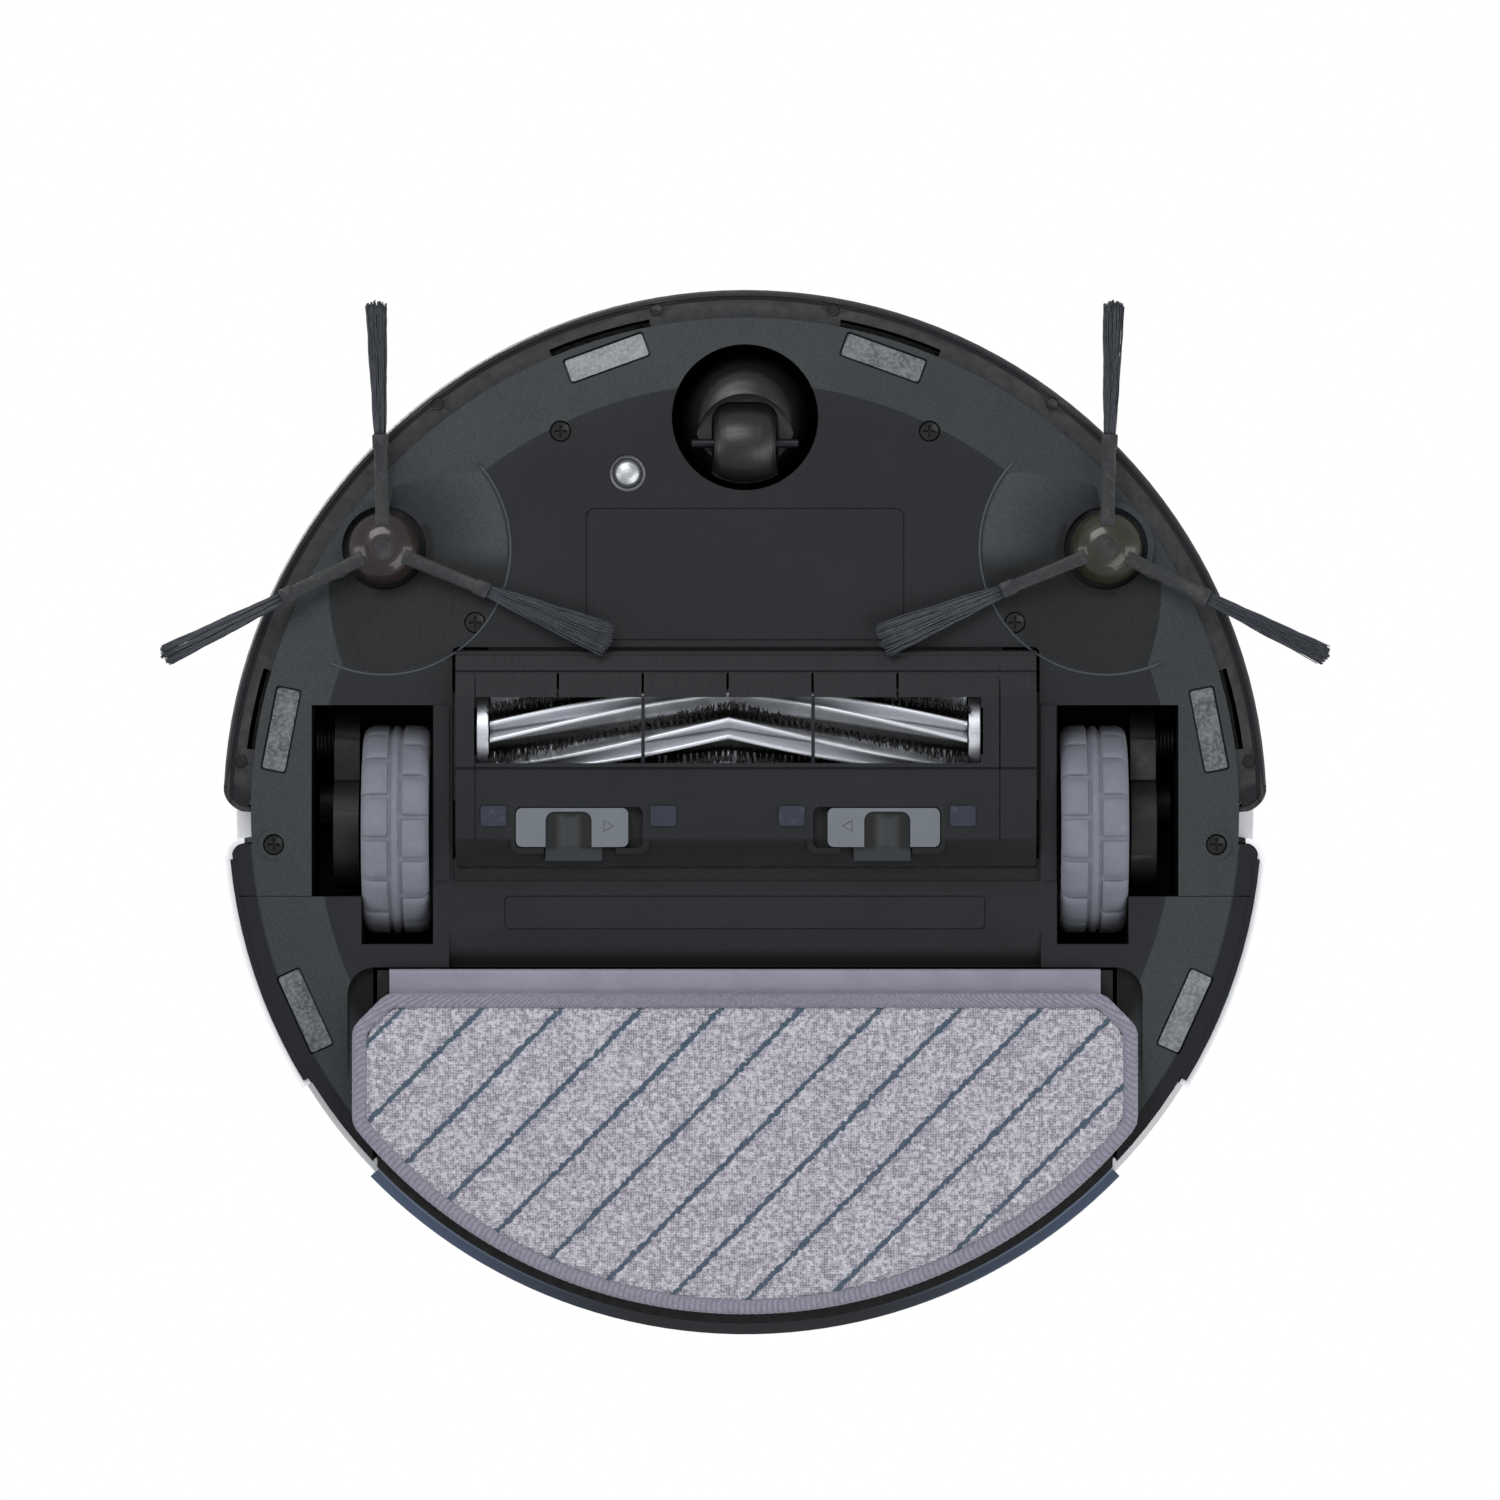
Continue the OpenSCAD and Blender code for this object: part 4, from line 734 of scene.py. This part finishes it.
def brush_bristles(side):
    """Bundles of crimped bristles that fan out from the arms and droop to the floor."""
    random.seed(11 if side == "right" else 23)
    batch = Batch()
    hub = HUB[side]
    flip = 1 if side == "right" else -1
    for angle, (spread, tufts) in zip(ARM_ANGLES, BUNDLES):
        a = math.radians(angle)
        ahead = Vector((math.cos(a), math.sin(a), 0))
        across = Vector((-math.sin(a), math.cos(a), 0))
        for tuft in range(tufts):
            centre = -1 + (2 * tuft + 1) / tufts
            for _ in range(BRISTLES_PER_ARM // tufts):
                q = centre + random.gauss(0, 0.6 / tufts)
                q = max(-1, min(1, q))
                root = 1.7 * MM * q
                tip = spread * MM * q
                reach = (BRISTLE_LENGTH - 1.4 * abs(q) + random.uniform(-1.5, 0.4)) * MM
                rise = random.uniform(-0.9, 0.9) * MM
                phase = random.uniform(0, 6.28)
                points = []
                for i in range(10):
                    f = i / 9
                    wave = 0.16 * MM * math.sin(phase + 14 * f)
                    off = root + (tip - root) * f ** 0.85 + wave
                    drop = ARM_Z + rise * (1 - 0.4 * f) - 3.4 * MM * f ** 1.6
                    p = ahead * (BRISTLE_ROOT + reach * f) + across * off
                    points.append(hub + Vector((p.x * flip, p.y, max(drop, FLOOR_GAP))))
                batch.strand(points, 0.27 * MM, 0.2 * MM, 3)
    o = add_mesh("brush_bristles_" + side, batch.verts, batch.faces, MATERIALS["bristle"],
                 f"side_brush_{side}_body")
    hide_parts("side_brush_bristles_" + side)


for side in ("left", "right"):
    brush_arms(side)
    brush_bristles(side)


POD_R = 42.4 * MM
RIM_FROM = 222          # degrees, where a rim starts
RIM_STEP = 3.28
RIM_STEPS = 48


def pod_rims():
    """Fine raised line along the inner edge of each side brush pod, in a paler grey as a painted
    highlight on the ridge.
    """
    batch = Batch()
    for side, hub in HUB.items():
        flip = 1 if side == "right" else -1
        rings = []
        for i in range(RIM_STEPS + 1):
            a = math.radians(RIM_FROM - RIM_STEP * i)
            fade = math.sin(math.pi * i / RIM_STEPS) ** 0.4
            ring = []
            for k in range(8):
                t = 2 * math.pi * k / 8
                rr = POD_R + 0.42 * MM * math.cos(t)
                z = BELLY_Z + 0.05 * MM + 0.5 * MM * fade * math.sin(t)
                ring.append(hub + Vector((flip * rr * math.cos(a), rr * math.sin(a), z)))
            rings.append(ring if flip < 0 else ring[::-1])
        batch.loft(rings)
    add_mesh("pod_rims", batch.verts, batch.faces, RIM_HIGHLIGHT, "chassis")


pod_rims()


# ------------------------------------------------------------------ tyres

BLOCKS = 15             # tread blocks in a ring
BLOCK_GAP = 1.5 * MM
TYRE_STEPS = 120
# place along a block and how far its rim sinks there, in millimetres
BLOCK_CURVE = ((0, 0.9), (0.015, 0.3), (0.045, 0.0), (0.25, 0), (0.5, 0), (0.75, 0),
               (0.955, 0.0), (0.985, 0.3), (1, 0.9))


def tyre(side):
    """Tyre with a bare ridge between two staggered rings of moulded blocks."""
    lo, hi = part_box("tyre_" + side)
    mid = Vector(((lo.x + hi.x) / 2, (lo.y + hi.y) / 2, (lo.z + hi.z) / 2))
    r = (hi.z - lo.z) / 2
    half = (hi.x - lo.x) / 2
    out = -1 if side == "left" else 1
    batch = Batch()

    def ring_at(points, a):
        c, s = math.cos(a), math.sin(a)
        return [mid + Vector((u * out, rr * c, rr * s)) for u, rr in points]

    body = [(-half, 27.2 * MM), (-half, r - 4.0 * MM), (-half + 1.0 * MM, r - 2.2 * MM),
            (-half + 2.6 * MM, r - 1.35 * MM), (-1.6 * MM, r - 1.2 * MM),
            (-0.9 * MM, r - 0.25 * MM), (0, r - 0.1 * MM), (0.9 * MM, r - 0.25 * MM),
            (1.6 * MM, r - 1.2 * MM), (half - 2.6 * MM, r - 1.35 * MM),
            (half - 1.0 * MM, r - 2.2 * MM), (half, r - 4.0 * MM), (half, 27.2 * MM)]
    batch.loft([ring_at(body, 2 * math.pi * i / TYRE_STEPS) for i in range(TYRE_STEPS + 1)],
               closed_ends=False)
    for column, (u0, u1, phase) in enumerate(((-half + 0.1 * MM, -2.5 * MM, 0.0),
                                              (2.5 * MM, half - 0.1 * MM, 0.5))):
        edge = u0 if column == 0 else u1
        near = u1 if column == 0 else u0
        lean = 1 if column == 0 else -1
        top = [(near, r - 1.9 * MM), (near, r - 0.35 * MM),
               (near - lean * 0.35 * MM, r - 0.05 * MM),
               (edge + lean * 3.2 * MM, r - 0.12 * MM), (edge + lean * 1.4 * MM, r - 0.75 * MM),
               (edge + lean * 0.25 * MM, r - 2.0 * MM), (edge, r - 3.4 * MM),
               (edge + lean * 0.6 * MM, r - 4.6 * MM)]
        for i in range(BLOCKS):
            a0 = 2 * math.pi * (i + phase) / BLOCKS
            wide = 2 * math.pi / BLOCKS - BLOCK_GAP / r
            rings = []
            for f, sink in BLOCK_CURVE:
                pts = [(u, rr - sink * MM if k < 6 else rr) for k, (u, rr) in enumerate(top)]
                rings.append(ring_at(pts, a0 + wide * f))
            batch.loft(rings)
    o = add_mesh("tread_" + side, batch.verts, batch.faces, MATERIALS["tyre_rubber"],
                 f"wheel_{side}")
    bm = bmesh.new()
    bm.from_mesh(o.data)
    bmesh.ops.remove_doubles(bm, verts=bm.verts, dist=0.000001)
    bmesh.ops.recalc_face_normals(bm, faces=bm.faces)
    bm.to_mesh(o.data)
    bm.free()
    o.data.shade_smooth()
    o.data.set_sharp_from_angle(angle=math.radians(48))
    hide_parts("tyre_" + side)


for side in ("left", "right"):
    tyre(side)


# ------------------------------------------------------------------ roller

ROLLER_MID = (ROLLER_X0 + ROLLER_X1) / 2
ROLLER_HALF = (ROLLER_X1 - ROLLER_X0) / 2 - 4.5 * MM
ROLLER_TURN = 78


def on_roller(x, r, degrees, off=0.0):
    """A point on the roller: along it, distance from its axis, direction and sideways offset."""
    a = math.radians(degrees + ROLLER_TURN * abs(x - ROLLER_MID) / ROLLER_HALF)
    s, c = math.sin(a), math.cos(a)
    return Vector((x, ROLLER_Y + r * s + off * c, ROLLER_Z - r * c + off * s))


# five sets round the roller, each of two blades and a row of tufts; angles in degrees
ROW_SETS = [72 * k for k in range(5)]
BLADE_TURNS = (-16, 7)
TUFT_TURN = -36
TUFT_PITCH = 2.1 * MM
TUFT_SIZE = 13


def roller_blades():
    """Pairs of swept rubber blades with thick roots and rounded lips."""
    batch = Batch()
    profile = ((8.4, 2.2), (9.6, 1.3), (11.5, 1.0), (13.2, 0.9), (14.1, 0.8), (14.6, 0.4))
    steps = 56
    for start in (a + b for a in ROW_SETS for b in BLADE_TURNS):
        rings = []
        for i in range(2 * steps + 1):
            x = ROLLER_MID + ROLLER_HALF * (i / steps - 1)
            ring = [on_roller(x, r * MM, start, w * MM) for r, w in profile]
            ring += [on_roller(x, r * MM, start, -w * MM) for r, w in reversed(profile)]
            rings.append(ring)
        batch.loft(rings)
    o = add_mesh("roller_blades", batch.verts, batch.faces, MATERIALS["silver_plastic"],
                 "roller_body")
    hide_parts("roller_fins")


def roller_tufts():
    """Swept rows of bristle tufts between the pairs of blades."""
    random.seed(5)
    batch = Batch()
    count = int(2 * ROLLER_HALF / TUFT_PITCH)
    for start in (a + TUFT_TURN for a in ROW_SETS):
        for i in range(count + 1):
            x = ROLLER_MID - ROLLER_HALF + 2 * ROLLER_HALF * i / count
            for _ in range(TUFT_SIZE):
                dx = random.gauss(0, 0.5) * MM
                dw = random.gauss(0, 0.5) * MM
                top = ROLLER_R - random.uniform(0, 0.9) * MM
                low = on_roller(x + 0.4 * dx, 8.7 * MM, start, 0.4 * dw)
                mid = on_roller(x + 0.8 * dx, 12.5 * MM, start, 0.9 * dw)
                high = on_roller(x + 1.5 * dx, top, start, 1.5 * dw)
                batch.strand([low, mid, high], 0.28 * MM, 0.22 * MM, 3)
    o = add_mesh("roller_tufts", batch.verts, batch.faces, BLACK_BRISTLE,
                 "roller_body")
    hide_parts("roller_bristles")


roller_blades()
roller_tufts()


# ------------------------------------------------------------------ mop

PAD_W = (pad_box[1].x - pad_box[0].x) / 2
PAD_Y0 = pad_box[0].y
PAD_R = pad_box[1].y
PAD_Z0, PAD_Z1 = pad_box[0].z, pad_box[1].z


def pad_outline(inset, step=2.0 * MM):
    """Outline of the pad, drawn in by inset, at even steps, anticlockwise from above."""
    w, y, r = PAD_W - inset, PAD_Y0 + inset, PAD_R - inset
    cut = 10 * MM
    a0 = math.acos(w / r)
    corners = [Vector((-w, y + cut)), Vector((-w + cut, y)), Vector((w - cut, y)),
               Vector((w, y + cut))]
    arc = [Vector((r * math.cos(a), r * math.sin(a)))
           for a in np.linspace(a0, math.pi - a0, 90)]
    path = corners + arc
    dense = []
    for i, p in enumerate(path):
        q = path[(i + 1) % len(path)]
        n = max(1, round((q - p).length / step))
        dense += [p + (q - p) * (k / n) for k in range(n)]
    for _ in range(6):
        dense = [(dense[i - 1] + dense[i] * 2 + dense[(i + 1) % len(dense)]) / 4
                 for i in range(len(dense))]
    return dense


def stripe_distance(x, y):
    """Distance from the nearest row of dark yarn."""
    along = x * math.sin(STRIPE_ANGLE) + y * math.cos(STRIPE_ANGLE)
    place = (along - STRIPE_FROM) / STRIPE_STEP
    return abs(place - round(place)) * STRIPE_STEP


def swell(o, pressure, cap, frames=20):
    """Blows the closed mesh up as cloth, no point moving further than cap."""
    start = np.empty(len(o.data.vertices) * 3, np.float32)
    o.data.vertices.foreach_get("co", start)
    cloth = o.modifiers.new("cloth", "CLOTH")
    cloth.settings.use_pressure = True
    cloth.settings.uniform_pressure_force = pressure
    cloth.settings.effector_weights.gravity = 0
    cloth.settings.quality = 4
    scene = bpy.context.scene
    for f in range(1, frames + 1):
        scene.frame_set(f)
    bake(o)
    scene.frame_set(1)
    end = np.empty_like(start)
    o.data.vertices.foreach_get("co", end)
    move = (end - start).reshape(-1, 3)
    size = np.linalg.norm(move, axis=1, keepdims=True)
    move *= np.minimum(1, cap / np.maximum(size, 1e-9))
    o.data.vertices.foreach_set("co", (start.reshape(-1, 3) + move).ravel())


def mop_terry():
    """Stuffed terry pad, flat on the plate above it and crowned underneath."""
    ring = pad_outline(1.4 * MM, 3 * MM)
    batch = Batch()
    low, high = PAD_Z0 + 1.3 * MM, PAD_Z1 - 0.2 * MM
    batch.loft([[Vector((p.x, p.y, z)) for p in ring] for z in (low, high)])
    o = add_mesh("mop_terry", batch.verts, batch.faces, MATERIALS["mop_cloth"],
                 "mop_body")
    remesh = o.modifiers.new("remesh", "REMESH")
    remesh.mode = "VOXEL"
    remesh.voxel_size = 2.6 * MM
    bake(o)
    swell(o, 4, 0.9 * MM)
    sub = o.modifiers.new("sub", "SUBSURF")
    sub.levels = sub.render_levels = 2
    bake(o)
    mesh = o.data
    n = len(mesh.vertices)
    co = np.empty(n * 3, np.float32)
    mesh.vertices.foreach_get("co", co)
    co = co.reshape(-1, 3)
    for i in range(n):
        x, y, z = co[i]
        under = min(1, max(0, (PAD_Z1 - 1.6 * MM - z) / (2 * MM)))
        if under > 0:
            lump = noise.noise(Vector((x, y, 0)) * (1000 / 6))
            loop = noise.noise(Vector((x, y, z)) * (1000 / 1.3))
            row = max(0, 1 - stripe_distance(x, y) / (1.6 * MM))
            height = 0.5 * loop + 0.2 * lump + 0.3 * row
            z -= under * height * MM
        co[i, 2] = min(PAD_Z1 - 0.05 * MM, max(PAD_Z0 + 0.02 * MM, z))
    mesh.vertices.foreach_set("co", co.ravel())
    mesh.shade_smooth()
    mesh.materials.clear()
    mesh.materials.append(MATERIALS["mop_cloth"])
    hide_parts("mop_pad")
    return o


def mop_binding():
    """Edge tape folded round the pad, with the ridges of its overlock stitches."""
    ring = pad_outline(1.4 * MM, 0.8 * MM)
    n = len(ring)
    mid_z = (PAD_Z0 + PAD_Z1) / 2
    rings = []
    for i, p in enumerate(ring):
        t = (ring[(i + 1) % n] - ring[i - 1]).normalized()
        out = Vector((t.y, -t.x, 0))
        pull = 0.12 * MM * math.sin(i * 2 * math.pi / 3)
        sag = 0.1 * MM * noise.noise(Vector((p.x, p.y, 0)) * 90)
        section = rounded_box_ring(4.9 * MM + pull, 5.7 * MM + pull, 1.45 * MM, 4)
        rings.append([Vector((p.x, p.y, mid_z + sag + v)) + out * u for u, v in section])
    rings.append(rings[0])
    batch = Batch()
    batch.loft(rings, closed_ends=False)
    o = add_mesh("mop_binding", batch.verts, batch.faces, TAPE, "mop_body")
    bm = bmesh.new()
    bm.from_mesh(o.data)
    bmesh.ops.remove_doubles(bm, verts=bm.verts, dist=0.00001)
    bmesh.ops.recalc_face_normals(bm, faces=bm.faces)
    bm.to_mesh(o.data)
    bm.free()
    o.data.shade_smooth()
    return o


def mop_ribbon():
    """Folded satin ribbon in front of the pad, puckered along its seam."""
    lo, hi = flap_box
    cols, rows = 260, 18
    verts, faces = [], []
    for i in range(cols + 1):
        x = lo.x + (hi.x - lo.x) * i / cols
        pucker = noise.noise(Vector((x * 140, 0.3, 0)))
        ripple = noise.noise(Vector((x * 420, 4.0, 0)))
        for j in range(rows + 1):
            s = j / rows
            if s < 0.45:
                y, z = hi.y - 0.2 * MM - (s / 0.45) * 8.3 * MM, hi.z - 0.1 * MM
            elif s < 0.55:
                a = math.pi * (s - 0.45) / 0.1
                y = lo.y + (0.6 - 0.6 * math.sin(a)) * MM
                z = hi.z - (0.75 - 0.65 * math.cos(a)) * MM
            else:
                f = (s - 0.55) / 0.45
                y, z = lo.y + 0.6 * MM + f * 8.2 * MM, hi.z - 1.4 * MM
                z -= (0.32 * pucker + 0.16 * ripple) * MM * (0.35 + 0.65 * f)
            verts.append((x, y, max(z, lo.z)))
    for i in range(cols):
        for j in range(rows):
            a = i * (rows + 1) + j
            faces.append((a, a + rows + 1, a + rows + 2, a + 1))
    o = add_mesh("mop_ribbon", verts, faces, MATERIALS["flap_cloth"], "mop_body")
    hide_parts("mop_flap")
    return o


mop_terry()
mop_binding()
mop_ribbon()
